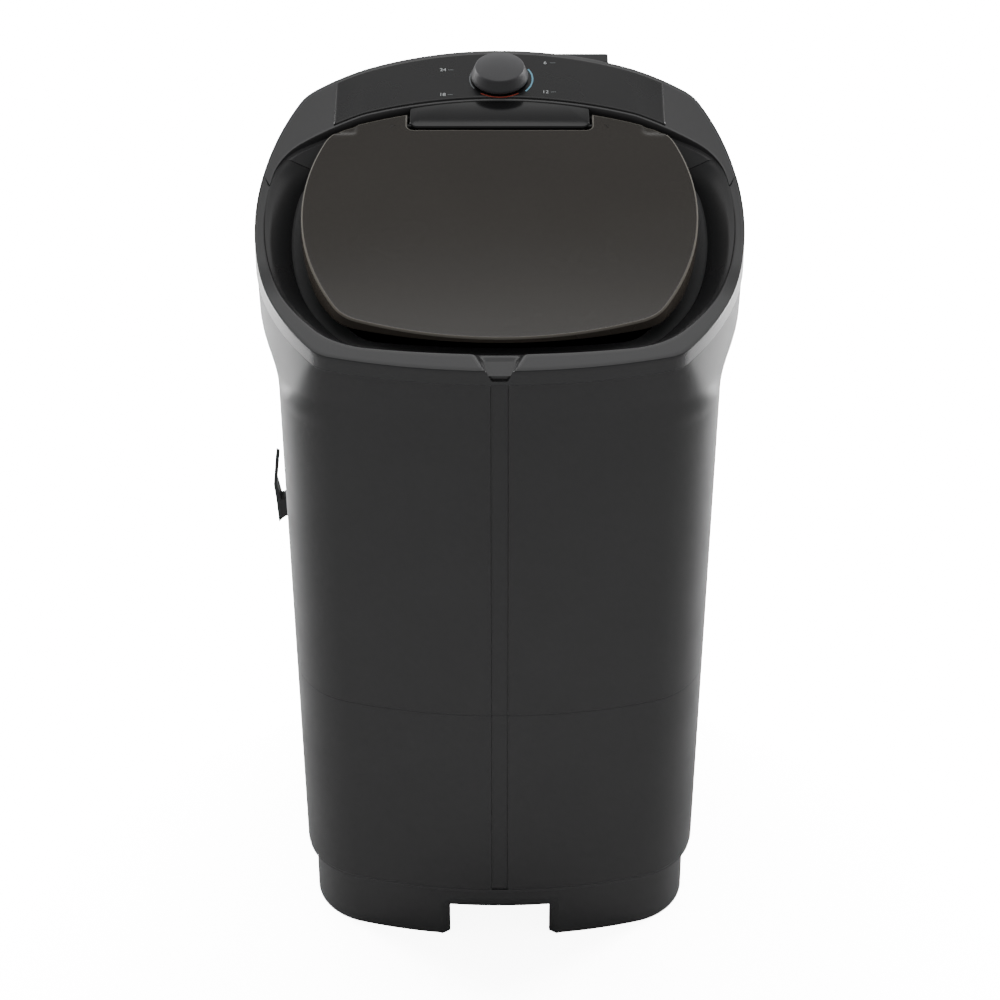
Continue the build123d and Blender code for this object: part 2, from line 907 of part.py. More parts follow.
def hinge_level():
    return lid_level(hinge_y) - hinge_drop


def hinge_bar(radius, x0, x1):
    """A round bar on the lid's hinge axis between two X values."""
    low, high = min(x0, x1), max(x0, x1)
    bar = Rot(0, 90, 0) * post(radius, low, high)
    return Pos(0, hinge_y, hinge_level()) * bar


# Lid

def lid():
    top = side_block([(-300, lid_level(-300)), (300, lid_level(300)), (300, 650), (-300, 650)])
    inner_top = Pos(0, 0, -lid_wall) * top
    slope = (lid_skirt_rear - lid_skirt_level) / (LID.rear - lid_skirt_bend)
    end_level = lid_skirt_level + (300 - lid_skirt_bend) * slope
    above = side_block([(-300, lid_skirt_level), (lid_skirt_bend, lid_skirt_level),
                        (300, end_level), (300, 1000), (-300, 1000)])
    notch_half = tab_width / 2 + notch_gap
    part = (prism(LID, 0, 700, 1000) & top) & above
    part -= slab(-notch_half, notch_half, lid_notch_y, 300, 700, 1000)
    part &= broken_edge(LID, lid_level, lid_break)
    hollow = prism(LID, -lid_wall, 700, 1000) & inner_top
    skin_half = notch_half + lid_wall
    hollow -= slab(-skin_half, skin_half, lid_notch_y - lid_wall, 300, 700, 1000)
    part -= hollow
    for side in (-1, 1):
        lug = hinge_bar(lug_radius, side * notch_half, side * (notch_half + lug_width))
        part += lug & inner_top_limit(top)
        part -= hinge_bar(pin_radius + fit_clearance, side * (notch_half - 1),
                          side * (notch_half + lug_width - 1.5))
        part -= lid_relief(side)
    return part


def lid_relief(side):
    """The space above the step, which slopes as the lid does."""
    block = Box(20, 30, 20, align=(Align.CENTER, Align.MIN, Align.MIN))
    place = Pos(side * (relief_x + 10), relief_y, lid_level(relief_y) - relief_depth)
    return place * Rot(lid_tilt, 0, 0) * block


def inner_top_limit(top):
    """Keeps the hinge lugs below the lid's top face."""
    return Pos(0, 0, -0.5) * top


def lid_hinge_pins():
    half = tab_width / 2
    inner = half - tab_bore + 1.5
    outer = half + notch_gap + lug_width - 1.5
    pins = [hinge_bar(pin_radius, side * inner, side * outer) for side in (-1, 1)]
    return Compound(children=pins)


# Timer and its knob

def timer_body():
    width, depth, height = timer_size
    case = Box(width, depth, height, align=(Align.CENTER, Align.CENTER, Align.MAX))
    case = chamfer(case.edges().filter_by(Axis.Z), 3)
    case = Pos(0, 0, -panel_wall) * case
    tags = Pos(0, depth / 2 - 6, -panel_wall - height) * Box(
        width * 0.7, 2, 8, align=(Align.CENTER, Align.CENTER, Align.MAX))
    bore = post(knob_shaft_radius + shaft_clearance, -16 - panel_wall, 1)
    case = case + tags - bore
    for side in (-1, 1):
        case -= screw_hole(screw_radius + fit_clearance, -9, 1, side * timer_screw_x)
    return deck_plane(knob_y).location * case


def timer_screws():
    screws = [Pos(side * timer_screw_x, 0, 0) * screw(8, 3.4) for side in (-1, 1)]
    return deck_plane(knob_y).location * Compound(children=screws)


def timer_shaft():
    bar = post(knob_shaft_radius, -15 - panel_wall, knob_gap + knob_height - 5)
    flat = slab(knob_flat, 10, -10, 10, knob_gap + 3, 40)
    return deck_plane(knob_y).location * (bar - flat)


def timer_knob():
    """A tapered grip, hollow below, with a hub for the flatted shaft."""
    top = knob_gap + knob_height
    roof = top - 4
    inner = knob_base_radius - 3
    profile = [(0, roof), (knob_top_radius - 3, roof), (inner, knob_gap),
               (knob_base_radius, knob_gap), (knob_base_radius, knob_gap + 2),
               (knob_top_radius + 0.9, top - 0.9), (knob_top_radius, top),
               (knob_top_radius - 1.6, top - 0.9), (0, top - 1.3)]
    form = turned(profile, knob_sides)
    form += bar(7, knob_gap + 4, roof + 1, hole_sides)
    bore = post(knob_shaft_radius + fit_clearance, knob_gap, top - 4.9)
    bore -= slab(knob_flat + fit_clearance, 10, -10, 10, knob_gap - 1, top)
    form -= bore
    form -= slab(-1.3, 1.3, knob_top_radius - 7, knob_base_radius + 1, top - 2.2, top + 1)
    return deck_plane(knob_y).location * form


# Water inlet

def inlet_bore():
    y0 = RIM.rear - 40
    return Pos(inlet_bore_x, y0, inlet_bore_level) * along_y(post(inlet_bore_radius, 0, 60))


def water_inlet():
    """Inlet block that sits on the panel's rear wall, its mouth to the rear."""
    block = slab(inlet_left, inlet_right, RIM.rear - 60, inlet_rear_y,
                 inlet_top - inlet_height, inlet_top)
    block = chamfer(block.edges().filter_by(Axis.Z).group_by(Axis.Y)[-1], 1.5)
    part = block - prism(RIM, 0, 700, 1000)
    part -= inlet_bore()
    return part


# Drive shaft, bearing and pulsator

def bearing_housing():
    floor_low = tub_floor_level - tub_floor_wall
    top = tub_floor_level + 3
    low = floor_low - housing_flange
    part = bar(housing_radius, housing_bottom, top, round_sides, shaft_x, shaft_y)
    part += bar(housing_flange_radius, low, floor_low, round_sides, shaft_x, shaft_y)
    for turn in range(4):
        web = slab(housing_radius - 1, housing_flange_radius - 8, -2, 2, low - 40, low + 1)
        web -= Pos(housing_flange_radius - 8, 0, low - 40) * Rot(0, 42, 0) * Box(60, 8, 60)
        part += Pos(shaft_x, shaft_y, 0) * Rot(0, 0, 45 + 90 * turn) * web
    seat = bush_radius + fit_clearance
    seat_top = top - seal_height
    part -= bar(seat, housing_bottom - 1, housing_bottom + bush_height, round_sides,
                shaft_x, shaft_y)
    part -= bar(seat, seat_top - bush_height, top + 1, round_sides, shaft_x, shaft_y)
    part -= bar(shaft_radius + 1.5, housing_bottom, top, hole_sides, shaft_x, shaft_y)
    return part


def bearing_bushes():
    top = tub_floor_level + 3 - seal_height
    bushes = []
    for low in (housing_bottom, top - bush_height):
        bush = bar(bush_radius, low, low + bush_height, round_sides, shaft_x, shaft_y)
        bushes.append(bush - post(shaft_radius + shaft_clearance, low - 1, low + bush_height + 1,
                                  shaft_x, shaft_y))
    return Compound(children=bushes)


def shaft_seal():
    top = tub_floor_level + 3
    lip = shaft_radius + 0.2
    cup = shaft_radius + 1.6
    return turned([(lip, top - seal_height), (bush_radius, top - seal_height),
                   (bush_radius, top), (bush_radius - 2, top), (bush_radius - 2, top - 3),
                   (cup, top - 3), (cup, top), (lip, top)], round_sides, shaft_x, shaft_y)


def pulsator_low():
    return tub_floor_level + pulsator_lift


def drive_shaft():
    part = post(shaft_radius, shaft_bottom, pulsator_low() + pulsator_crown - 8,
                shaft_x, shaft_y)
    part -= screw_hole(screw_radius + fit_clearance, pulsator_low() + pulsator_crown - 24,
                       pulsator_low() + pulsator_crown, shaft_x, shaft_y)
    part -= post(shaft_radius + 1, shaft_bottom - 1, pulley_low(), shaft_x, shaft_y)
    part += post(nut_thread_radius, shaft_bottom, pulley_low() + 1, shaft_x, shaft_y)
    return part


def pulley_low():
    return belt_level - belt_width / 2 - rim_wall - belt_gap


def pulsator():
    """A domed disc, hollow below, with curved vanes that stand on its face."""
    low = pulsator_low()
    edge = low + pulsator_edge
    crown = low + pulsator_crown
    radius = pulsator_radius
    hub = pulsator_hub_radius
    rise = crown - edge
    dome = [(hub + (radius - 4 - hub) * part, edge + rise * (1 - part) ** 1.7)
            for part in (1, 0.75, 0.5, 0.25, 0)]
    inset = radius - pulsator_wall
    roof = crown - pulsator_wall - 1
    inner = [(inset, low), (inset - 6, low + 2.5)]
    inner += [(r, z - pulsator_wall) for r, z in dome[1:4]] + [(hub - 3, roof)]
    profile = [(0, roof)] + inner[::-1] + [(radius, low), (radius, edge - 3)] + dome + [(0, crown)]
    form = turned(profile, pulsator_sides)
    inside = turned([(0, low - 1)] + [(inset, low - 1)] + inner + [(0, roof)], pulsator_sides)
    for turn in range(pulsator_vanes):
        form += Rot(0, 0, turn * 360 / pulsator_vanes) * vane() - inside
    form += bar(hub - 6, low + 3, roof + 1, round_sides)
    form -= post(shaft_radius + fit_clearance, low, crown - 8 + fit_clearance)
    form -= screw_hole(screw_radius + hole_clearance, crown - 9, crown + 1)
    form -= bar(screw_head_radius + 1, crown - screw_head - 0.4, crown + 1, head_sides)
    return Pos(shaft_x, shaft_y, 0) * form


def vane():
    """One swept rib, tapered towards its top and bent along its length."""
    low = pulsator_low() + 3
    top = pulsator_low() + pulsator_edge + vane_height
    inner = pulsator_hub_radius + 4
    outer = pulsator_radius - 12

    def ring(half, shrink, level):
        left, right = [], []
        for step in range(vane_steps + 1):
            part = step / vane_steps
            x = inner + shrink + (outer - inner - 2 * shrink) * part
            bend = vane_bend * math.sin(math.pi * part)
            left.append((x, bend + half, level))
            right.append((x, bend - half, level))
        return right + left[::-1]

    return skin([ring(vane_width / 2, 0, low), ring(vane_width * 0.22, 7, top)])


def pulsator_screw():
    head_low = pulsator_low() + pulsator_crown - screw_head - 0.4
    return Pos(shaft_x, shaft_y, head_low) * screw(12)


def grooved_wheel(radius, hub_radius, bore_radius, holes, x, y):
    """A belt wheel: a grooved rim, a web with round holes and a hub."""
    half = belt_width / 2 + belt_gap
    rim_half = half + rim_wall
    groove = radius - groove_depth - belt_gap
    inner = groove - rim_wall - 2
    web = pulley_web / 2
    points = [(bore_radius, -rim_half), (hub_radius, -rim_half), (hub_radius, -web),
              (inner, -web), (inner, -rim_half), (radius, -rim_half), (radius, -half),
              (groove, -half), (groove, half), (radius, half), (radius, rim_half),
              (inner, rim_half), (inner, web), (hub_radius, web), (hub_radius, rim_half),
              (bore_radius, rim_half)]
    wheel = turned(points, wheel_sides)
    for turn in range(holes):
        middle = (hub_radius + inner) / 2
        hole = bar(middle * 0.32, -20, 20, hole_sides, middle)
        wheel -= Rot(0, 0, turn * 360 / holes) * hole
    return Pos(x, y, belt_level) * wheel


def large_pulley():
    bore = shaft_radius / math.cos(math.pi / wheel_sides) + fit_clearance
    return grooved_wheel(large_pulley_radius, 13, bore, 6, shaft_x, shaft_y)


def motor_pulley():
    bore = motor_shaft_radius / math.cos(math.pi / round_sides) + fit_clearance
    half = belt_width / 2 + belt_gap
    rim_half = half + rim_wall
    radius = small_pulley_radius
    groove = radius - groove_depth - belt_gap
    points = [(bore, -rim_half), (radius, -rim_half), (radius, -half), (groove, -half),
              (groove, half), (radius, half), (radius, rim_half), (bore, rim_half)]
    return Pos(motor_x, motor_y, belt_level) * turned(points, round_sides)


def pulley_nut():
    nut = extrude(RegularPolygon(9, 6), nut_height)
    bore = nut_thread_radius / math.cos(math.pi / hole_sides) + fit_clearance
    nut -= bar(bore, -1, nut_height + 1, hole_sides)
    return Pos(shaft_x, shaft_y, pulley_low() - nut_height) * nut


def drive_belt():
    """The belt's loop round both wheels, with a running gap to each."""
    def loop(large, small):
        big = Pos(shaft_x, shaft_y, 0) * RegularPolygon(large, wheel_sides)
        little = Pos(motor_x, motor_y, 0) * RegularPolygon(small, round_sides)
        return make_hull(big.edges() + little.edges())

    large = (large_pulley_radius - groove_depth) / math.cos(math.pi / wheel_sides)
    small = (small_pulley_radius - groove_depth) / math.cos(math.pi / round_sides)
    ring = loop(large + belt_height, small + belt_height) - loop(large, small)
    return Pos(0, 0, belt_level - belt_width / 2) * extrude(ring, belt_width)


# Motor

def motor_body():
    """Stator stack between two end shells, cooled through slots in the shells."""
    low = motor_top - motor_height
    shell = motor_height * 0.3
    radius = motor_radius
    stack = radius - 4
    form = turned([(0, low - 6), (18, low - 6), (18, low), (radius - 10, low), (radius, low + 10),
                   (radius, low + shell), (stack, low + shell), (stack, motor_top - shell),
                   (radius, motor_top - shell), (radius, motor_top - 7), (radius - 7, motor_top),
                   (0, motor_top)], round_sides)
    for turn in range(8):
        form -= Rot(0, 0, turn * 45) * slab(28, 44, -3.5, 3.5, low - 1, low + 6)
    form -= post(motor_shaft_radius + shaft_clearance, low - 10, low + 40)
    for x, y in motor_bolt_places():
        form -= screw_hole(screw_radius + fit_clearance, motor_top - 12, motor_top + 1, x, y)
    return Pos(motor_x, motor_y, 0) * form


def motor_bolt_places():
    reach = motor_radius - 16
    return [(reach * math.cos(math.radians(45 + 90 * turn)),
             reach * math.sin(math.radians(45 + 90 * turn))) for turn in range(4)]


def motor_shaft():
    low = motor_top - motor_height
    return post(motor_shaft_radius, belt_level - 8, low + 36, motor_x, motor_y)


def motor_bracket():
    """A pressed tray that hangs from the tub floor and carries the motor."""
    floor_low = tub_floor_level - tub_floor_wall
    half = motor_radius + 2
    low = motor_top
    plate = slab(-half, half, -half, half, low, low + bracket_plate)
    part = plate
    for side in (-1, 1):
        wall_x = side * (half - bracket_plate / 2)
        part += slab(wall_x - bracket_plate / 2, wall_x + bracket_plate / 2, -half, half,
                     low, floor_low)
        foot_mid = side * (half + bracket_foot / 2)
        part += slab(foot_mid - bracket_foot / 2, foot_mid + bracket_foot / 2, -half, half,
                     floor_low - bracket_plate, floor_low)
    part -= bar(24, low - 1, low + bracket_plate + 1, round_sides)
    for x, y in motor_bolt_places():
        part -= screw_hole(screw_radius + hole_clearance, low - 1, low + bracket_plate + 1, x, y)
    for x, y in bracket_bolt_places():
        part -= screw_hole(screw_radius + hole_clearance, floor_low - bracket_plate - 1,
                           floor_low + 1, x, y)
    return Pos(motor_x, motor_y, 0) * part


def bracket_bolt_places():
    reach = motor_radius + 2 + bracket_foot / 2
    return [(side * reach, end * (motor_radius - 12)) for side in (-1, 1) for end in (-1, 1)]


def motor_bolts():
    bolts = [Pos(motor_x + x, motor_y + y, motor_top + bracket_plate) * screw(11)
             for x, y in motor_bolt_places()]
    return Compound(children=bolts)


def bracket_bolts():
    low = tub_floor_level - tub_floor_wall - bracket_plate
    bolts = [Pos(motor_x + x, motor_y + y, low) * Rot(180, 0, 0) * screw(bracket_plate + 2.5)
             for x, y in bracket_bolt_places()]
    return Compound(children=bolts)


# Electrical parts and drain

def capacitor():
    top = tub_floor_level - tub_floor_wall - 4
    low = top - capacitor_height
    can = turned([(0, low), (capacitor_radius - 3, low), (capacitor_radius, low + 3),
                  (capacitor_radius, top), (0, top)], round_sides)
    for x in (-7, 7):
        can += bar(3, low - 7, low + 1, head_sides, x)
    return Pos(capacitor_x, capacitor_y, 0) * can


def capacitor_clamp():
    floor_low = tub_floor_level - tub_floor_wall
    top = floor_low - 4
    inner = capacitor_radius + fit_clearance
    outer = inner + 2
    band = turned([(inner, top - 34), (outer, top - 34), (outer, top - 18),
                   (inner, top - 18)], round_sides)
    band += slab(-7, 7, inner + 0.2, inner + 3, top - 34, floor_low)
    band += slab(-7, 7, inner + 0.2, inner + 16, floor_low - 2, floor_low)
    return Pos(capacitor_x, capacitor_y, 0) * band


def cabinet_room(gap):
    """The cabinet's straight part grown by a gap, to seat pieces against its walls."""
    return taper_block(cabinet_bottom, flare_bottom, gap)


def terminal_block():
    y = body_rear(terminal_x, gland_level) - wall
    block = slab(-24, 24, -16, 8, 0, 20)
    for step in range(4):
        x = -18 + 12 * step
        block -= slab(x - 4, x + 4, -17, -10, 6, 21)
    return Pos(terminal_x, y, gland_level - 10) * block & cabinet_room(-wall - wall_fit)


def cord_gland():
    """A gland clamped on the rear wall by its collar outside and its nut inside."""
    place = Pos(gland_x, body_rear(gland_x, gland_level), gland_level)
    collar = place * along_y(bar(gland_radius, -8, 7, hole_sides))
    collar -= cabinet_room(wall_fit)
    nut = place * along_y(bar(gland_radius, -wall - 9, 0, 6))
    nut &= cabinet_room(-wall - wall_fit)
    neck = place * along_y(bar(gland_neck_radius, -wall - 11, 1, hole_sides))
    return collar + nut + neck - place * along_y(post(gland_bore_radius, -30, 30))


def drain_grille():
    top = tub_floor_level + 2.5
    bottom = tub_floor_level - tub_floor_wall - 8
    inner = drain_neck_radius - 2.5
    part = turned([(0, top - 2.5), (inner, top - 2.5), (inner, bottom),
                   (drain_neck_radius, bottom), (drain_neck_radius, tub_floor_level),
                   (drain_flange_radius, tub_floor_level), (drain_flange_radius, top),
                   (0, top)], round_sides)
    for step in range(-2, 3):
        reach = 12 - abs(step) * 2.5
        part -= slab(-reach, reach, step * 5 - 1.3, step * 5 + 1.3, top - 4, top + 1)
    return Pos(drain_x, drain_y, 0) * part


def drain_outlet():
    """Elbow pipe from the tub floor's drain to a stub in the rear wall."""
    top = tub_floor_level - tub_floor_wall
    cup = drain_neck_radius + fit_clearance
    bend_y_start = drain_y + outlet_bend
    bore = outlet_radius - pipe_wall
    part = turned([(0, top - 12), (cup + 2.5, top - 12), (cup + 2.5, top), (cup, top),
                   (cup, top - 8.5), (0, top - 8.5)], round_sides, drain_x, drain_y)
    part += elbow(outlet_radius - 0.3, top - 10)
    stub_low = bend_y_start - 1
    place = Pos(drain_x, stub_low, outlet_level)
    reach = outlet_end_y - stub_low
    part += place * along_y(post(outlet_radius, 0, reach))
    part += place * along_y(turned([(bore + 1, reach - 8), (outlet_radius, reach - 8),
                                    (outlet_radius + 1.2, reach - 5),
                                    (outlet_radius, reach - 5), (bore + 1, reach - 5)],
                                   round_sides))
    part -= elbow(bore - 0.3, top - 8)
    return part - place * along_y(post(bore, -0.5, reach + 1))


def elbow(radius, top):
    """A pipe's round solid: down from a level, then round a quarter bend to the rear."""
    def ring(y, z, turn):
        return [(drain_x + radius * math.cos(a),
                 y + radius * math.sin(a) * math.cos(turn),
                 z + radius * math.sin(a) * math.sin(turn))
                for a in [2 * math.pi * side / pipe_sides for side in range(pipe_sides)]]

    centre_z = outlet_level + outlet_bend
    rings = [ring(drain_y, top, 0)]
    for step in range(elbow_steps + 1):
        turn = math.pi / 2 * step / elbow_steps
        rings.append(ring(drain_y + outlet_bend * (1 - math.cos(turn)),
                          centre_z - outlet_bend * math.sin(turn), turn))
    return skin(rings)


# Lint filter

def filter_wall_x():
    return -(body_side(filter_half, filter_bottom) - wall)


def filter_holder():
    """Two upright runners with a stop, moulded on a plate that hugs the tub's left wall."""
    x = filter_wall_x()
    low = filter_bottom - 3
    high = filter_bottom + filter_height * 0.6
    part = slab(x - 6, x + 2, -filter_half - 6, filter_half + 6, low, high)
    for side in (-1, 1):
        y = side * (filter_half + filter_play)
        rail = slab(x + 1, x + 9 + filter_thickness, min(y, y + side * 5), max(y, y + side * 5),
                    low, high)
        lip = slab(x + 4 + filter_thickness + 2 * filter_play, x + 9 + filter_thickness,
                   min(y - side * 4, y + side), max(y - side * 4, y + side), low, high)
        part += rail + lip
    part += slab(x + 1, x + 9 + filter_thickness, -filter_half - 5, filter_half + 5, low,
                 filter_bottom - contact_gap)
    return part & cabinet_room(-wall - wall_fit)


def lint_filter():
    """A frame with a woven screen and a grip, which lifts out of the runners."""
    x0 = filter_wall_x() + 4 + filter_play
    x1 = x0 + filter_thickness
    low = filter_bottom
    high = filter_bottom + filter_height
    part = slab(x0, x1, -filter_half, filter_half, low, high)
    part -= slab(x0 - 1, x1 + 1, -filter_half + 8, filter_half - 8, low + 8, high - 20)
    part += slab(x0 - 1, x0 + 10, -18, 18, high - 9, high - 5)
    bars = 4
    span = 2 * filter_half - 16
    for index in range(1, bars):
        y = -filter_half + 8 + span * index / bars
        part += slab(x0, x0 + 1.2, y - 0.8, y + 0.8, low + 7, high - 19)
    rise = filter_height - 28
    for index in range(1, bars + 1):
        z = low + 8 + rise * index / (bars + 1)
        part += slab(x0, x0 + 1.2, -filter_half + 7, filter_half - 7, z - 0.8, z + 0.8)
    return part


# Hose clip on the left side

def hose_clip():
    """A bent strip that stands off the cabinet's left side and holds a hose."""
    wall_x = body_side(clip_y, clip_low)
    half = clip_width / 2
    reach = clip_reach
    high = clip_low + clip_height
    outer = [(-wall_x + 5, clip_low + 24), (-wall_x - reach + 5, clip_low + 6),
             (-wall_x - reach, clip_low), (-wall_x - reach - 2, clip_low + 34),
             (-wall_x - reach - 4, clip_low + 54), (-wall_x - reach, high),
             (-wall_x - reach + 4, high - 3), (-wall_x - reach, clip_low + 54),
             (-wall_x - reach + 4, clip_low + 32), (-wall_x + 5, clip_low + 42)]
    face = make_face(Polyline(outer + [outer[0]]))
    part = extrude(Plane.XZ * face, half, both=True)
    part += slab(-wall_x - 2, -wall_x + 6, -half - 4, half + 4, clip_low + 12, clip_low + 60)
    part = Pos(0, clip_y, 0) * part
    return part - cabinet_room(wall_fit)


PIECES = [
    tub_body, base_skirt, rubber_feet, base_screws, top_frame, frame_screws, control_panel,
    panel_screws, panel_decal, panel_tab, lid, lid_hinge_pins, timer_body, timer_screws,
    timer_shaft, timer_knob, water_inlet, bearing_housing, bearing_bushes, shaft_seal,
    drive_shaft, pulsator, pulsator_screw, large_pulley, pulley_nut, drive_belt, motor_pulley,
    motor_body, motor_shaft, motor_bracket, motor_bolts, bracket_bolts, capacitor,
    capacitor_clamp, terminal_block, cord_gland, drain_grille, drain_outlet, filter_holder,
    lint_filter, hose_clip,
]

if __name__ == "__main__":
    os.makedirs("parts", exist_ok=True)
    for piece in PIECES:
        save(piece.__name__, piece())
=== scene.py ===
import math

import bmesh
import bpy
import numpy as np
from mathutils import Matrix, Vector


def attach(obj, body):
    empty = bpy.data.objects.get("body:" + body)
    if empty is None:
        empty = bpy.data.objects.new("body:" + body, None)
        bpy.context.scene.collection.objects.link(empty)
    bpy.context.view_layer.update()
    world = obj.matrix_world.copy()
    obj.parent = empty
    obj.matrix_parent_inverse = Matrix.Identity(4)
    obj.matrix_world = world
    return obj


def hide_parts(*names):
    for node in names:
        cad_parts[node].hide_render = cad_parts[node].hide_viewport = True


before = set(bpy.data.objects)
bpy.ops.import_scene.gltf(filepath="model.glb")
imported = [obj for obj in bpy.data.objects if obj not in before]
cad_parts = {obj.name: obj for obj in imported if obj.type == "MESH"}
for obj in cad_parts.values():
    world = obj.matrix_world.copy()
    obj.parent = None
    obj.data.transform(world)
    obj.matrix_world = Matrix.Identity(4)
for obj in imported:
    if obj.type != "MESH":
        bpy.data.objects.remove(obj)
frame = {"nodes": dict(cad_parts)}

bl_info = {
    "name": "Washing machine looks",
    "version": (1, 0, 0),
    "blender": (4, 5, 0),
    "location": "View3D > Sidebar > Washer",
    "description": "Surfaces, materials and studio for a top-loading washing machine",
    "category": "Object",
}

MM = 0.001

# Outlines in millimetres: half width, front, rear, height of the widest place along Y,
# front, side and rear arc radius, front and rear corner radius.
RIM = (262.5, 262.5, 262.5, 0.0, 600.0, 390.0, 340.0, 35.0, 55.0)
RECESS = (252.0, 231.0, 169.5, 0.0, 800.0, 310.0, 400.0, 90.0, 70.0)
LID = (212.0, 197.0, 160.0, -5.0, 440.0, 290.0, 440.0, 45.0, 45.0)
FOOT = (229.0, 254.0, 246.0, 0.0, 580.0, 2400.0, 430.0, 84.0, 76.0)
FLARE = (260.0, 257.6, 256.0, 0.0, 580.0, 450.0, 375.0, 60.0, 60.0)
SHOULDER = (261.5, 258.2, 261.0, 0.0, 600.0, 392.0, 340.0, 35.0, 55.0)
RADII = slice(4, 7)

# Heights and places that the surfaces share with the solids, in millimetres
CABINET_LOW, WAIST, FLARE_TOP, CABINET_TOP = 81.0, 702.0, 740.0, 783.0
COLLAR_FOOT = 760.0
FLOOR_LEVEL, FLOOR_WALL = 345.0, 4.0
SIDE_DRAFT, END_DRAFT = math.tan(math.radians(0.75)), math.tan(math.radians(0.32))
BAND, REAR, BEND_Y, BEND_HALF = 801.0, 887.0, -95.0, 31.0
PANEL_Y, PANEL_DROP = 48.0, 26.0
OUTER_SPLIT, SLOPE_SPLIT = 64.0, 90.0  # the panel's front edge outside and on the slope
DECK_SLOPE = math.tan(math.radians(8.0))
DECK_HALF, WING_HALF = 150.0, 255.0
LID_SLOPE, LID_LOW = math.tan(math.radians(11.5)), 798.0
SHAFT_Y = -4.0
HINGE, LUG_RADIUS = (131.5, 861.934), 6.5  # Y and height of the lid's pivot; its lugs
KNOB_Y = 207.5


# Outlines and heights

def arc(centre, radius, start, end, count):
    """Points on a circle's arc: centre plus radius times cosine and sine of the angle."""
    angle = np.linspace(start, end, count)
    return np.stack([centre[0] + radius * np.cos(angle), centre[1] + radius * np.sin(angle)], 1)


def meeting(centre_a, radius_a, centre_b, radius_b, front):
    """The right-hand point where two circles meet, at the front or the rear."""
    a, b = np.array(centre_a), np.array(centre_b)
    reach = np.linalg.norm(b - a)
    along = (reach ** 2 + radius_a ** 2 - radius_b ** 2) / (2 * reach)
    off = math.sqrt(radius_a ** 2 - along ** 2)
    unit = (b - a) / reach
    across = np.array([-unit[1], unit[0]])
    points = [a + unit * along + across * off * sign for sign in (1, -1)]
    return max(points, key=lambda p: p[0] if (p[1] < 0) == front else -1e6)


def right_half(oval, grow=0.0):
    """The outline's right half as a dense line from the front's middle to the rear's.

    Five arcs with shared tangents: front, front corner, side, rear corner, rear.
    """
    half, front, rear, widest, r_front, r_side, r_rear, c_front, c_rear = oval
    fc = (0.0, r_front - front)
    sc = (half - r_side, widest)
    rc = (0.0, rear - r_rear)
    near = meeting(sc, r_side - c_front, fc, r_front - c_front, True)
    far = meeting(sc, r_side - c_rear, rc, r_rear - c_rear, False)

    def way(a, b):
        return math.atan2(b[1] - a[1], b[0] - a[0])

    quarter = math.pi / 2
    parts = [arc(fc, r_front + grow, -quarter, way(fc, near), 400),
             arc(near, c_front + grow, way(fc, near), way(sc, near), 400),
             arc(sc, r_side + grow, way(sc, near), way(sc, far), 400),
             arc(far, c_rear + grow, way(sc, far), way(rc, far), 400),
             arc(rc, r_rear + grow, way(rc, far), quarter, 400)]
    return np.concatenate(parts)


def stations(line, front_x, sides, rears, split):
    """Picks columns on a half outline: chosen X places, then even steps to Y = split, on to
    the slope's split and on to the rear. Each split has a second column close behind it, so
    that a step there is sharp."""
    steps = np.r_[0, np.cumsum(np.linalg.norm(np.diff(line, axis=0), axis=1))]
    widest = line[:, 0].argmax()
    first = np.interp(front_x, line[:widest, 0], steps[:widest])
    turn, second = np.interp((split, SLOPE_SPLIT), line[:, 1], steps)
    spots = np.r_[first, np.linspace(first[-1], turn, sides + 1)[1:], turn + 0.15,
                  np.linspace(turn, second, 8)[1:], second + 0.15,
                  np.linspace(second, steps[-1], rears - 6)[1:]]
    return np.stack([np.interp(spots, steps, line[:, k]) for k in (0, 1)], 1)


def loop(oval, grow=0.0, front_x=(0.0,), sides=90, rears=70, split=PANEL_Y):
    """The whole outline as columns, mirrored, so all outlines match one to one."""
    half = stations(right_half(oval, grow), np.array(front_x), sides, rears, split)
    half[0, 0] = half[-1, 0] = 0.0
    left = half[-2:0:-1] * [-1, 1]
    return np.concatenate([half, left])


def mix_ovals(a, b, share):
    """An outline between two: sizes mixed evenly, the long arcs by their curvature."""
    a, b = np.array(a), np.array(b)
    out = a + (b - a) * share
    out[RADII] = 1 / (1 / a[RADII] + (1 / b[RADII] - 1 / a[RADII]) * share)
    return out


def body_oval(level):
    """The cabinet's outline at a height, wider upward by its draft."""
    rise = level - CABINET_LOW
    out = np.array(FOOT)
    out[0] += rise * SIDE_DRAFT
    out[1:3] += rise * END_DRAFT
    return out


def cabinet_oval(level):
    """The outline at any height: straight part, flare by a smooth step, then the shoulder."""
    if level <= WAIST:
        return body_oval(level)
    if level <= FLARE_TOP:
        part = (level - WAIST) / (FLARE_TOP - WAIST)
        return mix_ovals(body_oval(WAIST), FLARE, part * part * (3 - 2 * part))
    return mix_ovals(FLARE, SHOULDER, (level - FLARE_TOP) / (CABINET_TOP - FLARE_TOP))


def rim_level(y):
    """Height of the rim line: level at the front, a parabola at the bend, then straight up."""
    y = np.asarray(y, float)
    slope = (REAR - BAND) / (RIM[2] - BEND_Y)
    start = BEND_Y - BEND_HALF
    curve = BAND + slope * (y - start) ** 2 / (4 * BEND_HALF)
    line = BAND + (y - BEND_Y) * slope
    return np.where(y <= start, BAND, np.where(y >= BEND_Y + BEND_HALF, line, curve))


def deck_level(x, y):
    """Height of the panel's top: the deck in the middle, each wing falling to the rim line."""
    middle = REAR - (RIM[2] - y) * DECK_SLOPE
    share = np.clip((np.abs(x) - DECK_HALF) / (WING_HALF - DECK_HALF), 0, 1.3)
    return middle + (rim_level(y) - middle) * share


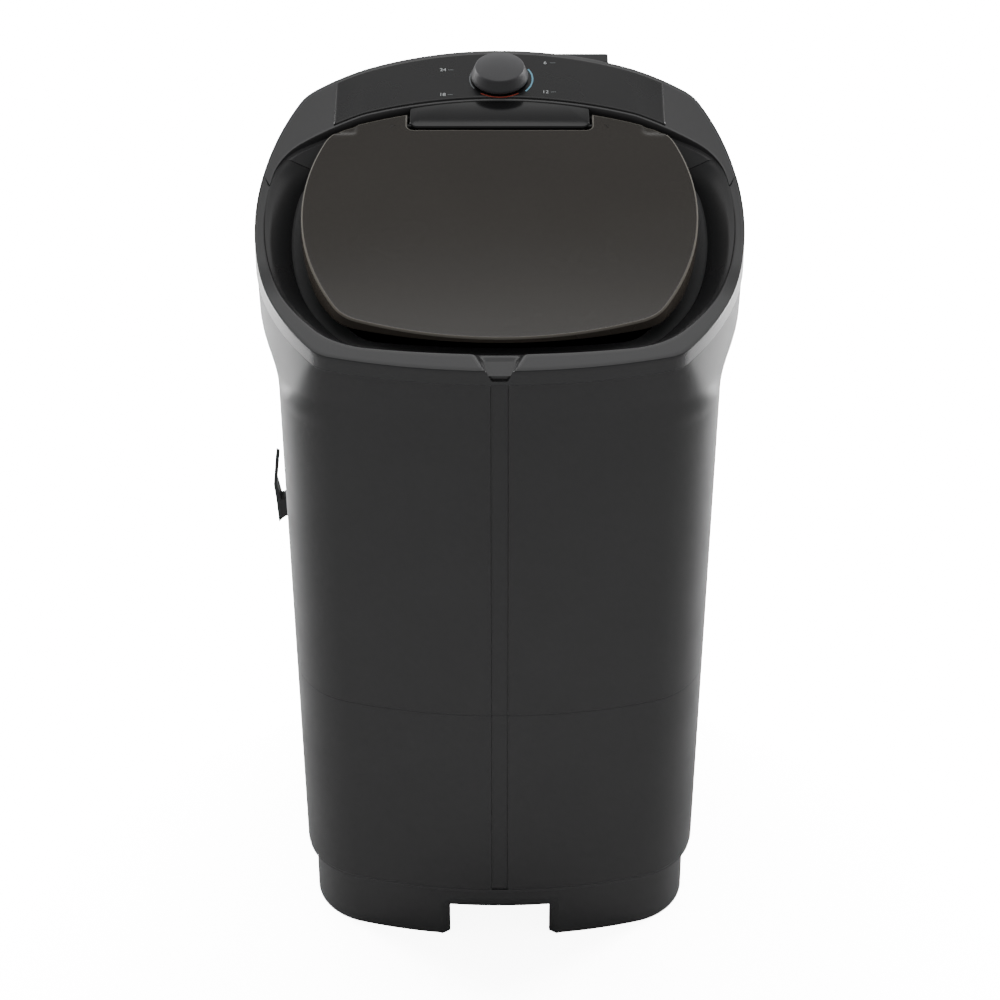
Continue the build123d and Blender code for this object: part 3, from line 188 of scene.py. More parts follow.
def lid_level(y):
    """Height of the lid's top face, a plane that rises to the rear."""
    return LID_LOW + (y + LID[1]) * LID_SLOPE


def smooth_step(t):
    t = np.clip(t, 0, 1)
    return t * t * (3 - 2 * t)


# Meshes

def put_mesh(name, points, faces, angle=32.0):
    """Makes an object from millimetre points: doubles merged, faces outward, soft shading."""
    mesh = bpy.data.meshes.new(name)
    mesh.from_pydata((np.asarray(points, float) * MM).tolist(), [], faces)
    tidy = bmesh.new()
    tidy.from_mesh(mesh)
    bmesh.ops.remove_doubles(tidy, verts=tidy.verts, dist=2e-6)
    bmesh.ops.dissolve_degenerate(tidy, edges=tidy.edges, dist=1e-6)
    bmesh.ops.recalc_face_normals(tidy, faces=tidy.faces)
    tidy.to_mesh(mesh)
    tidy.free()
    mesh.shade_smooth()
    mesh.set_sharp_from_angle(angle=math.radians(angle))
    made = bpy.data.objects.new(name, mesh)
    bpy.context.scene.collection.objects.link(made)
    return made


def grid_faces(rows, columns, wrap_columns=True, wrap_rows=False):
    """Quads between neighbours on a grid of rows by columns, by index arithmetic."""
    row = np.arange(rows if wrap_rows else rows - 1)
    column = np.arange(columns if wrap_columns else columns - 1)
    r, c = np.meshgrid(row, column, indexing="ij")
    r2, c2 = (r + 1) % rows, (c + 1) % columns
    quads = np.stack([r * columns + c, r * columns + c2, r2 * columns + c2, r2 * columns + c], -1)
    return quads.reshape(-1, 4).tolist()


def sweep(name, rings, wrap_columns=True, wrap_rows=False, caps=False, angle=32.0):
    """A surface through rings of points; caps closes the first and last ring flat."""
    grid = np.asarray(rings, float)
    rows, columns = grid.shape[:2]
    faces = grid_faces(rows, columns, wrap_columns, wrap_rows)
    if caps:
        faces.append(list(range(columns)))
        faces.append([(rows - 1) * columns + k for k in reversed(range(columns))])
    return put_mesh(name, grid.reshape(-1, 3), faces, angle)


def end_faces(rows, count):
    """The two faces that close an open grid at its first and last column."""
    return [[r * count for r in range(rows)],
            [r * count + count - 1 for r in reversed(range(rows))]]


def thicken(made, name, thickness):
    """Gives a surface its wall's thickness, in metres, on its inner side."""
    wall = made.modifiers.new(name, "SOLIDIFY")
    wall.thickness = thickness
    wall.offset = -1.0


def lift(plan, level):
    """Plan points raised to a height, given as a number or an array."""
    return np.concatenate([plan, np.broadcast_to(level, len(plan))[:, None]], 1)


def keep(made, body, *nodes, slot=None, material=None):
    """Places a finished piece on its body, in place of the CAD nodes that it stands for."""
    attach(made, body)
    if nodes:
        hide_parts(*nodes)
    made.data.materials.clear()
    made.data.materials.append(material)
    return made


def face_centres(made):
    """Centres of an object's faces, in millimetres."""
    centres = np.zeros(len(made.data.polygons) * 3)
    made.data.polygons.foreach_get("center", centres)
    return centres.reshape(-1, 3) / MM


def face_means(made, rule):
    """The mean over each face's corners of a rule on vertex positions, in millimetres."""
    mesh = made.data
    points = np.zeros(len(mesh.vertices) * 3)
    mesh.vertices.foreach_get("co", points)
    corners, starts, totals = (np.zeros(count, np.int32) for count in (
        len(mesh.loops), len(mesh.polygons), len(mesh.polygons)))
    mesh.loops.foreach_get("vertex_index", corners)
    mesh.polygons.foreach_get("loop_start", starts)
    mesh.polygons.foreach_get("loop_total", totals)
    return np.add.reduceat(rule(points.reshape(-1, 3) / MM)[corners], starts) / totals


def mark_faces(made, *marks):
    """Gives further materials to faces: each mark is a mask over the faces and a name."""
    index = np.zeros(len(made.data.polygons), np.int32)
    for count, (mask, name) in enumerate(marks, 1):
        made.data.materials.append(paint(name))
        index[mask] = count
    made.data.polygons.foreach_set("material_index", index)


# Materials

def linear(code):
    """An sRGB hex code as linear red, green, blue and 1."""
    parts = [int(code[k:k + 2], 16) / 255 for k in (1, 3, 5)]
    line = [p / 12.92 if p <= 0.04045 else ((p + 0.055) / 1.055) ** 2.4 for p in parts]
    return (*line, 1.0)


def add(tree, kind, sockets=None, links=None, **settings):
    """Adds a node with its settings, socket values and links from other nodes' outputs."""
    made = tree.nodes.new(kind)
    for name, value in settings.items():
        setattr(made, name, value)
    for name, value in (sockets or {}).items():
        made.inputs[name].default_value = value
    for name, source in (links or {}).items():
        tree.links.new(source, made.inputs[name])
    return made


def start_material(name):
    made = bpy.data.materials.new(name)
    made.use_nodes = True
    made.node_tree.nodes.clear()
    return made, made.node_tree


def moulded(name, colour, roughness, grain=0.0, shine=0.5, change=0.06):
    """Moulded thermoplastic: one colour, slightly uneven gloss and, if asked, a fine grain."""
    made, tree = start_material(name)
    place = add(tree, "ShaderNodeTexCoord").outputs["Object"]
    cloud = add(tree, "ShaderNodeTexNoise", {"Scale": 14.0, "Detail": 3.0}, {"Vector": place})
    gloss = add(tree, "ShaderNodeMapRange",
                {"From Min": 0.3, "From Max": 0.7, "To Min": roughness - change / 2,
                 "To Max": roughness + change / 2}, {"Value": cloud.outputs["Fac"]})
    shader = add(tree, "ShaderNodeBsdfPrincipled",
                 {"Base Color": colour, "IOR": 1.49, "Specular IOR Level": shine},
                 {"Roughness": gloss.outputs["Result"]})
    if grain:
        fine = add(tree, "ShaderNodeTexNoise", {"Scale": 830.0, "Detail": 2.0},
                   {"Vector": place})
        bump = add(tree, "ShaderNodeBump", {"Strength": grain, "Distance": 0.0001},
                   {"Height": fine.outputs["Fac"]})
        tree.links.new(bump.outputs["Normal"], shader.inputs["Normal"])
    add(tree, "ShaderNodeOutputMaterial", None, {"Surface": shader.outputs["BSDF"]})
    return made


def metal(name, colour, roughness, brushed=(1.0, 1.0, 1.0)):
    """Bare or plated metal: full metallic, with faint streaks from how it was worked."""
    made, tree = start_material(name)
    place = add(tree, "ShaderNodeTexCoord").outputs["Object"]
    turn = add(tree, "ShaderNodeMapping", {"Scale": brushed}, {"Vector": place})
    streak = add(tree, "ShaderNodeTexNoise", {"Scale": 400.0, "Detail": 2.0},
                 {"Vector": turn.outputs["Vector"]})
    gloss = add(tree, "ShaderNodeMapRange",
                {"From Min": 0.3, "From Max": 0.7, "To Min": roughness - 0.06,
                 "To Max": roughness + 0.06}, {"Value": streak.outputs["Fac"]})
    shader = add(tree, "ShaderNodeBsdfPrincipled", {"Base Color": colour, "Metallic": 1.0},
                 {"Roughness": gloss.outputs["Result"]})
    add(tree, "ShaderNodeOutputMaterial", None, {"Surface": shader.outputs["BSDF"]})
    return made


def smoked(name, colour, roughness):
    """Smoked clear plastic: tinted, mostly dark, clear enough to show the tub faintly."""
    made, tree = start_material(name)
    place = add(tree, "ShaderNodeTexCoord").outputs["Object"]
    cloud = add(tree, "ShaderNodeTexNoise", {"Scale": 6.0, "Detail": 2.0}, {"Vector": place})
    gloss = add(tree, "ShaderNodeMapRange",
                {"From Min": 0.3, "From Max": 0.7, "To Min": roughness - 0.015,
                 "To Max": roughness + 0.015}, {"Value": cloud.outputs["Fac"]})
    shader = add(tree, "ShaderNodeBsdfPrincipled",
                 {"Base Color": colour, "IOR": 1.49, "Transmission Weight": 0.3,
                  "Specular IOR Level": 0.42},
                 {"Roughness": gloss.outputs["Result"]})
    add(tree, "ShaderNodeOutputMaterial", None, {"Surface": shader.outputs["BSDF"]})
    return made


MATERIALS = {}


def paint(name):
    """The material by its name, made once from the colours in the scene's settings."""
    if name not in MATERIALS:
        tint = bpy.context.scene.washer_colours
        MATERIALS[name] = MAKERS[name](tint)
    return MATERIALS[name]


MAKERS = {
    # Polypropylene moulded in a spark-eroded tool: dark grey, a broad soft highlight.
    "cabinet": lambda t: moulded("cabinet_polypropylene", t.cabinet, 0.42, grain=0.12),
    # The same plastic for the base, a little duller where the tool is rougher.
    "base": lambda t: moulded("base_polypropylene", t.base, 0.5, grain=0.15),
    # ABS moulded in a polished tool: dark, with clearer reflections than the cabinet.
    "frame": lambda t: moulded("frame_abs", t.frame, 0.26, change=0.0),
    # ABS with a satin face: the wings show a lighter even sheen.
    "panel": lambda t: moulded("panel_abs", t.panel, 0.3, change=0.0),
    # The tab is moulded in the same ABS with a mirror-polished face: black and glossy.
    "tab": lambda t: moulded("polished_abs", t.foil, 0.14, shine=0.4, change=0.03),
    # Printed polyester foil: flat, dark and slightly glossy.
    "foil": lambda t: moulded("printed_foil", t.foil, 0.28, shine=0.38, change=0.03),
    # Smoked styrene-acrylonitrile lid: warm dark grey, soft reflections.
    "lid": lambda t: smoked("smoked_lid_plastic", t.lid, 0.16),
    # A lighter copy of the lid plastic on the lid's rounded edge and the skirt's foot: a painted
    # highlight line.
    "lid_painted_highlight": lambda t: moulded("lid_plastic_painted_highlight", linear("#6f6a62"), 0.2),
    # The lid's skirt in a lighter copy of the lid plastic: painted light where the skirt sits in
    # shade.
    "lid_skirt_painted_light": lambda t: moulded("lid_plastic_painted_light", linear("#423c35"), 0.25),
    # ABS of the well below the lid, matt and dull, made lighter than the frame: painted light in
    # the well's shade.
    "well": lambda t: moulded("well_abs_painted_light", linear("#4a4a4b"), 0.5),
    # Moulded knob with a fine matt skin.
    "knob": lambda t: moulded("knob_abs", t.knob, 0.46, grain=0.06, shine=0.4),
    # Glass-filled polypropylene of the pulsator: light grey and smooth.
    "agitator": lambda t: moulded("agitator_polypropylene", t.agitator, 0.35),
    # Black filled polypropylene of the inlet box: matt and deep.
    "inlet": lambda t: moulded("inlet_polypropylene", linear("#19191a"), 0.5, shine=0.3),
    # Natural polypropylene of the inner parts: dull grey.
    "inner": lambda t: moulded("inner_polypropylene", linear("#5b5c5e"), 0.5, grain=0.1),
    # Vulcanised rubber: near black and matt.
    "rubber": lambda t: moulded("black_rubber", linear("#161616"), 0.75, grain=0.2),
    # Black acetal of the hinge pins: waxy and dark.
    "acetal": lambda t: moulded("black_acetal", linear("#141414"), 0.45),
    # Stove enamel on the motor shell: dark, with a soft gloss.
    "enamel": lambda t: moulded("motor_enamel", linear("#2a2c30"), 0.35),
    # Zinc-plated steel: cool grey with small streaks.
    "zinc": lambda t: metal("zinc_plated_steel", linear("#a9acb0"), 0.35),
    # Ground steel of shafts and pins, streaks run round the shaft.
    "steel": lambda t: metal("ground_steel", linear("#8e9093"), 0.28, (1.0, 1.0, 8.0)),
    # Sintered bronze of the bushes: warm and dull.
    "bronze": lambda t: metal("sintered_bronze", linear("#8a6a3c"), 0.5),
    # Pressure-cast aluminium of the pulleys: pale with a rough skin.
    "alloy": lambda t: metal("cast_aluminium", linear("#b4b6b8"), 0.45),
    # Screen-printed inks on the foil: matt, slightly raised.
    "ink_white": lambda t: moulded("ink_white", linear("#d8dcdd"), 0.5, change=0.02),
    "ink_grey": lambda t: moulded("ink_grey", linear("#7d8284"), 0.5, change=0.02),
    "ink_red": lambda t: moulded("ink_red", linear("#a8402f"), 0.5, change=0.02),
    "ink_blue": lambda t: moulded("ink_blue", linear("#7fc3dd"), 0.5, change=0.02),
}

# CAD nodes that are shown as they are, by material
PLAIN = {
    "base_screws": "zinc", "frame_screws": "zinc", "panel_screws": "zinc",
    "timer_screws": "zinc", "motor_bolts": "zinc", "bracket_bolts": "zinc",
    "pulley_nut": "zinc", "motor_bracket": "zinc", "capacitor_clamp": "zinc",
    "lid_hinge_pins": "acetal", "timer_shaft": "steel", "drive_shaft": "steel",
    "motor_shaft": "steel", "pulsator_screw": "steel", "bearing_bushes": "bronze",
    "large_pulley": "alloy", "motor_pulley": "alloy", "rubber_feet": "rubber",
    "shaft_seal": "rubber", "drive_belt": "rubber", "motor_body": "enamel",
    "timer_body": "inner", "bearing_housing": "inner", "capacitor": "inner",
    "terminal_block": "inner", "cord_gland": "inner", "drain_grille": "inner",
    "drain_outlet": "inner", "filter_holder": "inner", "lint_filter": "inner",
    "hose_clip": "base", "water_inlet": "inlet",
}


# Pieces

def channel_columns():
    """X places of columns at the front: close at the channel's two edges."""
    return np.r_[0, 3, 6, 8.4, 8.7, 9.0, 9.3, 9.6, 12, 16, 22, 30]


def make_cabinet(sizes):
    """Cabinet and tub: outline rings carried up the outside, over the top edge, down the
    inside to the tub floor, in to the shaft hole and back below the floor."""
    wall = sizes.wall / MM
    columns = channel_columns()

    def ring(level, grow, dent=0.0):
        plan = loop(cabinet_oval(level), grow, columns)
        if dent:
            inside = 1 - smooth_step((np.abs(plan[:, 0]) - 8.6) / 0.9)
            plan[:, 1] += dent * inside * (plan[:, 1] < 0)
        return lift(plan, level)

    seam, groove, half = sizes.seam / MM, sizes.groove / MM, 0.7
    depth = sizes.channel / MM
    outer = [ring(81.0, -1.6, depth), ring(81.5, -0.6, depth), ring(82.6, 0.0, depth)]
    low = list(np.linspace(100, seam - 8, 7)) + [seam - half]
    outer += [ring(z, 0.0, depth) for z in low]
    outer += [ring(seam - half * 0.5, -groove, depth), ring(seam + half * 0.5, -groove, depth)]
    high = [seam + half] + list(np.linspace(seam + 8, WAIST - 10, 8))
    high += list(np.linspace(WAIST, FLARE_TOP, 13)) + [748, 758, 768, 776, 778.6]
    outer += [ring(z, 0.0, depth) for z in high]
    outer += [ring(779.4, 0.0), ring(782.6, 0.0), ring(CABINET_TOP, -0.4)]
    inner = [ring(CABINET_TOP, 0.4 - wall), ring(782.0, -wall), ring(760.0, -wall)]
    inner += [ring(z, -wall) for z in np.linspace(FLARE_TOP, WAIST, 9)]
    inner += [ring(z, -wall) for z in np.linspace(660, FLOOR_LEVEL + 24, 6)]
    for t in np.linspace(0.15, 1, 7):
        turn = t * math.pi / 2
        inner.append(lift(loop(cabinet_oval(FLOOR_LEVEL), -wall - 24 * (1 - math.cos(turn)),
                               columns), FLOOR_LEVEL + 24 * (1 - math.sin(turn))))
    edge = inner[-1][:, :2]
    way = np.arctan2(edge[:, 1] - SHAFT_Y, edge[:, 0])
    hole = np.stack([15.4 * np.cos(way), SHAFT_Y + 15.4 * np.sin(way)], 1)
    floor = [lift(edge + (hole - edge) * t, FLOOR_LEVEL) for t in (0.25, 0.5, 0.75, 1.0)]
    below = loop(cabinet_oval(FLOOR_LEVEL), -wall, columns)
    under = [lift(hole + (below - hole) * t, FLOOR_LEVEL - FLOOR_WALL) for t in (0, 0.5, 1.0)]
    skirt = [ring(z, -wall) for z in (250.0, 160.0, 81.0)]
    made = sweep("cabinet_shell", outer + inner + floor + under + skirt, wrap_rows=True, angle=28)
    return keep(made, "cabinet", "tub_body", slot="cabinet_plastic", material=paint("cabinet"))


def notch_shift(plan, level, sizes):
    """Moves the two edge columns of the base's notch out along its chamfered foot."""
    half = sizes.notch_width / MM / 2
    wide = half + 9.0
    x = plan[:, 0]
    edge = np.isclose(np.abs(x), half, atol=0.2) & (plan[:, 1] < 0)
    spread = (wide - half) * np.clip((6.4 - level) / 5.4, 0, 1)
    plan[edge, 0] = np.sign(x[edge]) * (half + spread)
    return plan


def make_base(sizes):
    """Base ring: the foot outline set in, carried up to a flange below the cabinet, with
    the notch left open in the grid and the wall given its thickness by a modifier."""
    half = sizes.notch_width / MM / 2
    inset = -sizes.base_inset / MM
    columns = np.r_[0, 15, 30, 45, half, half + 12, half + 24, half + 40]
    top = 1.0 + sizes.notch_height / MM
    levels = [1.0, 3.0, 6.4, 20.0, 34.0, top, 60.0, 74.0]
    rings = [lift(notch_shift(loop(FOOT, inset, columns), z, sizes), z) for z in levels]
    for t in np.linspace(0.2, 1, 5):
        turn = t * math.pi / 2
        rings.append(lift(loop(FOOT, inset + 3.0 * (1 - math.cos(turn)), columns),
                          74.0 + 3.0 * math.sin(turn)))
    rings += [lift(loop(FOOT, -1.2, columns), 77.2), lift(loop(FOOT, -0.9, columns), 77.6),
              lift(loop(FOOT, -0.9, columns), 81.0), lift(loop(FOOT, -9.0, columns), 81.0)]
    grid = np.asarray(rings)
    rows, count = grid.shape[:2]
    faces = []
    for face in grid_faces(rows, count):
        centre = grid.reshape(-1, 3)[face].mean(0)
        low_row = face[0] // count < 5
        if not (low_row and abs(centre[0]) < half and centre[1] < 0):
            faces.append(face)
    made = put_mesh("base_ring", grid.reshape(-1, 3), faces, 30)
    thicken(made, "wall", 0.0032)
    return keep(made, "cabinet", "base_skirt", slot="base_plastic", material=paint("base"))


def spout(points):
    """Lowers points into the pouring notch: a trough that narrows and falls to the front,
    with soft shoulders, by a smooth step across X."""
    x, y, z = np.abs(points[:, 0]), points[:, 1], points[:, 2]
    t = np.clip((-y - 224.0) / 38.0, 0, 1)
    floor = 793.0 - 5.0 * t
    half = 15.0 - 8.0 * t
    shoulder = 17.0 - 9.0 * t
    cut = (1 - smooth_step((x - half) / shoulder)) * (y < -200)
    points[:, 2] = z - cut * np.clip(z - floor, 0, None)
    return points


def pocket(points):
    """Lowers the recess behind the hinge, where the open lid's rear edge goes."""
    x, y, z = np.abs(points[:, 0]), points[:, 1], points[:, 2]
    inside = (x < 178.0) & (y > 100.0) & (y < 158.0)
    points[:, 2] = np.where(inside, np.minimum(z, 836.0), z)
    return points


def make_frame(sizes):
    """Top frame: its section carried round the rim. The section runs up the outer facet,
    over the flat band, down the recess's slope into the well and back inside."""
    columns = np.r_[np.arange(0, 36, 1.5), 40, 46, 54]
    edge = sizes.edge_round / MM

    def ring(oval, grow, level, drop_rear=0.0, cut=True, lift_rear=0.0):
        split = OUTER_SPLIT if oval is RIM else PANEL_Y
        plan = loop(oval, grow, columns, split=split)
        y = plan[:, 1]
        z = level(y) if callable(level) else np.full(len(y), float(level))
        z = z - drop_rear * (y > split + 0.02) + lift_rear * (y > SLOPE_SPLIT + 0.02)
        points = lift(plan, z)
        return spout(points) if cut else points

    def rim(down):
        return lambda y: rim_level(y) - down

    drop = PANEL_DROP
    rings = [ring(RIM, -3.0, 783.3), ring(RIM, -0.5, 783.3), ring(RIM, 0.0, 783.9)]
    rings += [ring(RIM, 0.0, lambda y, s=s: 783.9 + (rim_level(y) - edge - 783.9) * s, drop * s)
              for s in (0.25, 0.5, 0.75, 1.0)]
    for t in (0.25, 0.5, 0.75, 1.0):
        turn = t * math.pi / 2
        rings.append(ring(RIM, -edge * (1 - math.cos(turn)), rim(edge * (1 - math.sin(turn))),
                          drop))
    outer = loop(RIM, -edge, columns, split=OUTER_SPLIT)
    inner = loop(RECESS, 2.0, columns)
    for t in (0.2, 0.4, 0.6, 0.8, 1.0):
        plan = outer + (inner - outer) * t
        z = rim_level(plan[:, 1]) - drop * (outer[:, 1] > OUTER_SPLIT + 0.02)
        rings.append(spout(lift(plan, z)))
    rings.append(ring(RECESS, 0.9, rim(0.12), drop))
    rings.append(ring(RECESS, 0.3, rim(0.4), drop))
    rings.append(ring(RECESS, 0.0, rim(0.75)))
    rings.append(ring(RECESS, -0.6, rim(1.3)))
    rings.append(ring(RECESS, -1.6, rim(2.1)))
    for run in (4.0, 8.0, 12.0, 17.0, 22.0, 26.0):  # the slope, down 22 over 29
        rings.append(pocket(ring(RECESS, -run, rim(run * 22.0 / 29.0), lift_rear=0.9)))
    # A splash lip runs in below the lid's edge, and the collar goes down behind it.
    for run, down in ((28.6, 22.2), (31.0, 23.4), (51.0, 26.0), (52.0, 27.0), (51.0, 28.2),
                      (31.0, 27.4), (29.2, 28.2)):
        rings.append(pocket(ring(RECESS, -run, rim(down))))
    rings.append(ring(RECESS, -29.0, COLLAR_FOOT, cut=False))
    rings.append(ring(RECESS, -26.0, COLLAR_FOOT, cut=False))
    rings.append(pocket(ring(RECESS, -26.0, rim(28.7))))
    rings.append(ring(RECESS, 2.0, rim(8.0), drop, cut=False))
    rings.append(ring(RIM, -3.0, rim(8.0), drop, cut=False))
    made = sweep("frame_shell", rings, wrap_rows=True, angle=24)
    keep(made, "cabinet", "top_frame", slot="frame_plastic", material=paint("frame"))
    x, y, z = face_centres(made).T
    down = rim_level(y) - z
    within = (np.abs(x) < 228) & (y > -212) & (y < 145)
    # Painted light: faces deep in the well get a lighter grey than the frame, standing in for
    # light in the shade below the lid.
    well = within & (down > 21)
    behind = (y > SLOPE_SPLIT + 0.1) & (down > 0.5) & (down < 21)
    mark_faces(made, (well, "well"), (behind, "panel"))


def rear_columns(oval, grow):
    """The part of an outline behind the panel's front edge, right to left."""
    split = (OUTER_SPLIT if oval is RIM else PANEL_Y) + 0.3
    line = loop(oval, grow, (0.0, 30.0), 60, 110, split)
    behind = line[:, 1] > split - 0.01
    return line[behind]


def make_panel(sizes):
    """Rear cover: its section carried round the rear, up the inner wall, across the deck
    and down the outer wall, with the wall's thickness from a modifier."""
    edge = sizes.edge_round / MM

    def ring(oval, grow, drop_from_deck=None, seat=0.0):
        plan = rear_columns(oval, grow)
        x, y = plan[:, 0], plan[:, 1]
        if drop_from_deck is None:
            z = np.maximum(rim_level(y) - PANEL_DROP + seat, 0)
        else:
            z = deck_level(x, y) - drop_from_deck
        return lift(plan, z)

    rings = [ring(RECESS, 0.0), ring(RECESS, 0.0, 1.0), ring(RECESS, 0.3, 0.3),
             ring(RECESS, 1.0, 0.0)]
    a, b = rear_columns(RECESS, 1.0), rear_columns(RIM, -edge)
    for t in np.linspace(0.1, 1, 10):
        plan = a + (b - a) * t
        rings.append(lift(plan, deck_level(plan[:, 0], plan[:, 1])))
    for t in (0.33, 0.66, 1.0):
        turn = t * math.pi / 2
        rings.append(ring(RIM, -edge * (1 - math.sin(turn)), edge * (1 - math.cos(turn))))
    rings.append(ring(RIM, 0.0))
    grid = np.asarray(rings)
    rows, count = grid.shape[:2]
    flat = grid.reshape(-1, 3)
    faces = [f for f in grid_faces(rows, count, wrap_columns=False)
             if math.hypot(flat[f][:, 0].mean(), flat[f][:, 1].mean() - KNOB_Y) > 14.0]
    faces += end_faces(rows, count)
    made = put_mesh("panel_cover", flat, faces, 30)
    thicken(made, "wall", 0.0022)
    return keep(made, "cabinet", "control_panel", slot="panel_plastic", material=paint("panel"))


def edge_at(oval, grow, x):
    """Y of an outline's rear edge at each X."""
    line = right_half(oval, grow)
    behind = line[line[:, 1] > 20]
    order = behind[:, 0].argsort()
    return np.interp(np.abs(x), behind[order, 0], behind[order, 1])


def make_foil(sizes):
    """Foil on the deck: X runs along it and each column runs from the panel's inner edge to
    its outer edge, raised from the deck by the foil's height."""
    half = sizes.foil_half / MM
    x = np.linspace(-half, half, 141)
    near, far = edge_at(RECESS, 2.6, x), edge_at(RIM, -2.9, x)
    rings = []
    for t in np.linspace(0, 1, 15):
        plan = np.stack([x, near + (far - near) * t], 1)
        rings.append(lift(plan, deck_level(plan[:, 0], plan[:, 1]) + sizes.foil / MM))
    made = sweep("panel_foil", rings, wrap_columns=False, angle=30)
    thicken(made, "foil", 0.0004)
    return keep(made, "cabinet", "panel_decal", slot="decal_foil", material=paint("foil"))


def tab_plan(grow):
    """Plan of the tab: two rounded front corners and a rear edge along the recess."""
    half = 99.0 + grow
    front = 126.5 - grow
    radius = 9.0 + grow
    right = arc((half - radius, front + radius), radius, -math.pi / 2, 0, 9)
    x = np.linspace(half, -half, 25)
    y = edge_at(RECESS, -0.2 if grow >= 0 else grow, x)
    left = (right * [-1, 1])[::-1]
    return np.concatenate([left, right, np.stack([x, y], 1)])


def make_tab(sizes):
    """Tab in the lid's notch: its rounded plan carried down from a sloping top."""
    def level(y):
        edge = RECESS[2]
        deck = REAR - (RIM[2] - edge) * DECK_SLOPE
        return deck - 0.6 - (edge - y) * LID_SLOPE

    rings = []
    for grow, down in ((-1.4, 0.0), (-0.7, 0.2), (-0.2, 0.7), (0.0, 1.4), (0.0, 18.0),
                       (-1.0, 19.0)):
        plan = tab_plan(grow)
        rings.append(lift(plan, level(plan[:, 1]) - down))
    made = sweep("tab_block", rings, caps=True, angle=30)
    return keep(made, "cabinet", "panel_tab", slot="tab_plastic", material=paint("tab"))


def lid_plan(grow):
    """The lid's outline with the notch for the tab: the oval's right half up to the notch,
    the notch's side and its rounded inner corner, and their mirror image."""
    half, front, turn = 101.5 - grow, 123.0 + grow, 7.0 - grow
    line = right_half(LID, grow)
    rear = edge_at(LID, grow, half)
    side = line[(line[:, 1] < 60) | (line[:, 0] > half)]
    side = np.concatenate([side, [[half, rear]]])
    steps = np.r_[0, np.cumsum(np.linalg.norm(np.diff(side, axis=0), axis=1))]
    spots = np.linspace(0, steps[-1], 150)
    side = np.stack([np.interp(spots, steps, side[:, k]) for k in (0, 1)], 1)
    hollow = arc((half - turn, front + turn), turn, 0, -math.pi / 2, 9)
    right = np.concatenate([side, hollow])
    return np.concatenate([right, (right * [-1, 1])[::-1][:-1]])


def skirt_level(y):
    """Height of the lid's lower edge: level at the front, then rising to the rear."""
    slope = (864.0 - 792.0) / (LID[2] + 115.0)
    return np.where(y < -115.0, 792.0, 792.0 + (y + 115.0) * slope)


def lid_step(plan):
    """How far the lid's top steps down at its rear corners, so that it can lean back: a
    smooth step in X times one in Y."""
    return 1.9 * smooth_step((np.abs(plan[:, 0]) - 156) / 4) * smooth_step((plan[:, 1] - 115) / 4)


def make_lid(sizes):
    """Lid: its notched outline carried from the top's rounded edge down to the skirt's foot
    and back up inside, with flat faces above and below. Two lugs carry its pivot."""
    wall = sizes.lid_wall / MM
    rings = []
    top = [(grow, 0.0) for grow in (-18, -15, -12, -9, -6, -3)]
    for grow, down in top + [(-2.0, 0.0), (-1.2, 0.2), (-0.4, 0.8), (0.0, 2.0)]:
        plan = lid_plan(grow)
        rings.append(lift(plan, lid_level(plan[:, 1]) - lid_step(plan) - down))
    outer = lid_plan(0.0)
    foot = np.minimum(skirt_level(outer[:, 1]), lid_level(outer[:, 1]) - 4.0)
    rings.append(lift(outer, foot + 0.4))
    rings.append(lift(lid_plan(-0.4), foot))
    rings.append(lift(lid_plan(0.4 - wall), foot))
    inner = lid_plan(-wall)
    rings.append(lift(inner, foot + 0.4))
    rings.append(lift(inner, lid_level(inner[:, 1]) - wall))
    made = sweep("lid_shell", rings, caps=True, angle=30)
    keep(made, "lid", "lid", slot="lid_plastic", material=paint("lid"))
    centres = face_centres(made)
    down = face_means(made, lambda p: lid_level(p[:, 1]) - lid_step(p) - p[:, 2])
    foot = np.minimum(skirt_level(centres[:, 1]), lid_level(centres[:, 1]) - 4.0)
    above_foot = centres[:, 2] - foot
    # Painted highlight: the lid's rounded edge faces and a thin ring at the skirt's foot get a
    # lighter copy of the lid plastic, standing in for the bright lines there.
    painted_highlight_faces = ((down > 0.05) & (down < 1.7)) | (np.abs(above_foot - 0.2) < 0.15)
    # Painted light: the skirt's outer faces get a lighter copy of the lid plastic, standing in
    # for light in the shade under the lid's edge.
    side = (down > 1.7) & (above_foot > 0.35)
    mark_faces(made, (side, "lid_skirt_painted_light"), (painted_highlight_faces, "lid_painted_highlight"))
    for side, name in ((-1, "lid_lug_left"), (1, "lid_lug_right")):
        lug = arc(HINGE, LUG_RADIUS, 0, 2 * math.pi, 49)[:-1]
        lug[:, 1] = np.minimum(lug[:, 1], lid_level(lug[:, 0]) - 0.6)
        rings = [np.insert(lug, 0, side * x, axis=1) for x in (101.6, 111.4)]
        keep(sweep(name, rings, caps=True), "lid", material=paint("lid"))


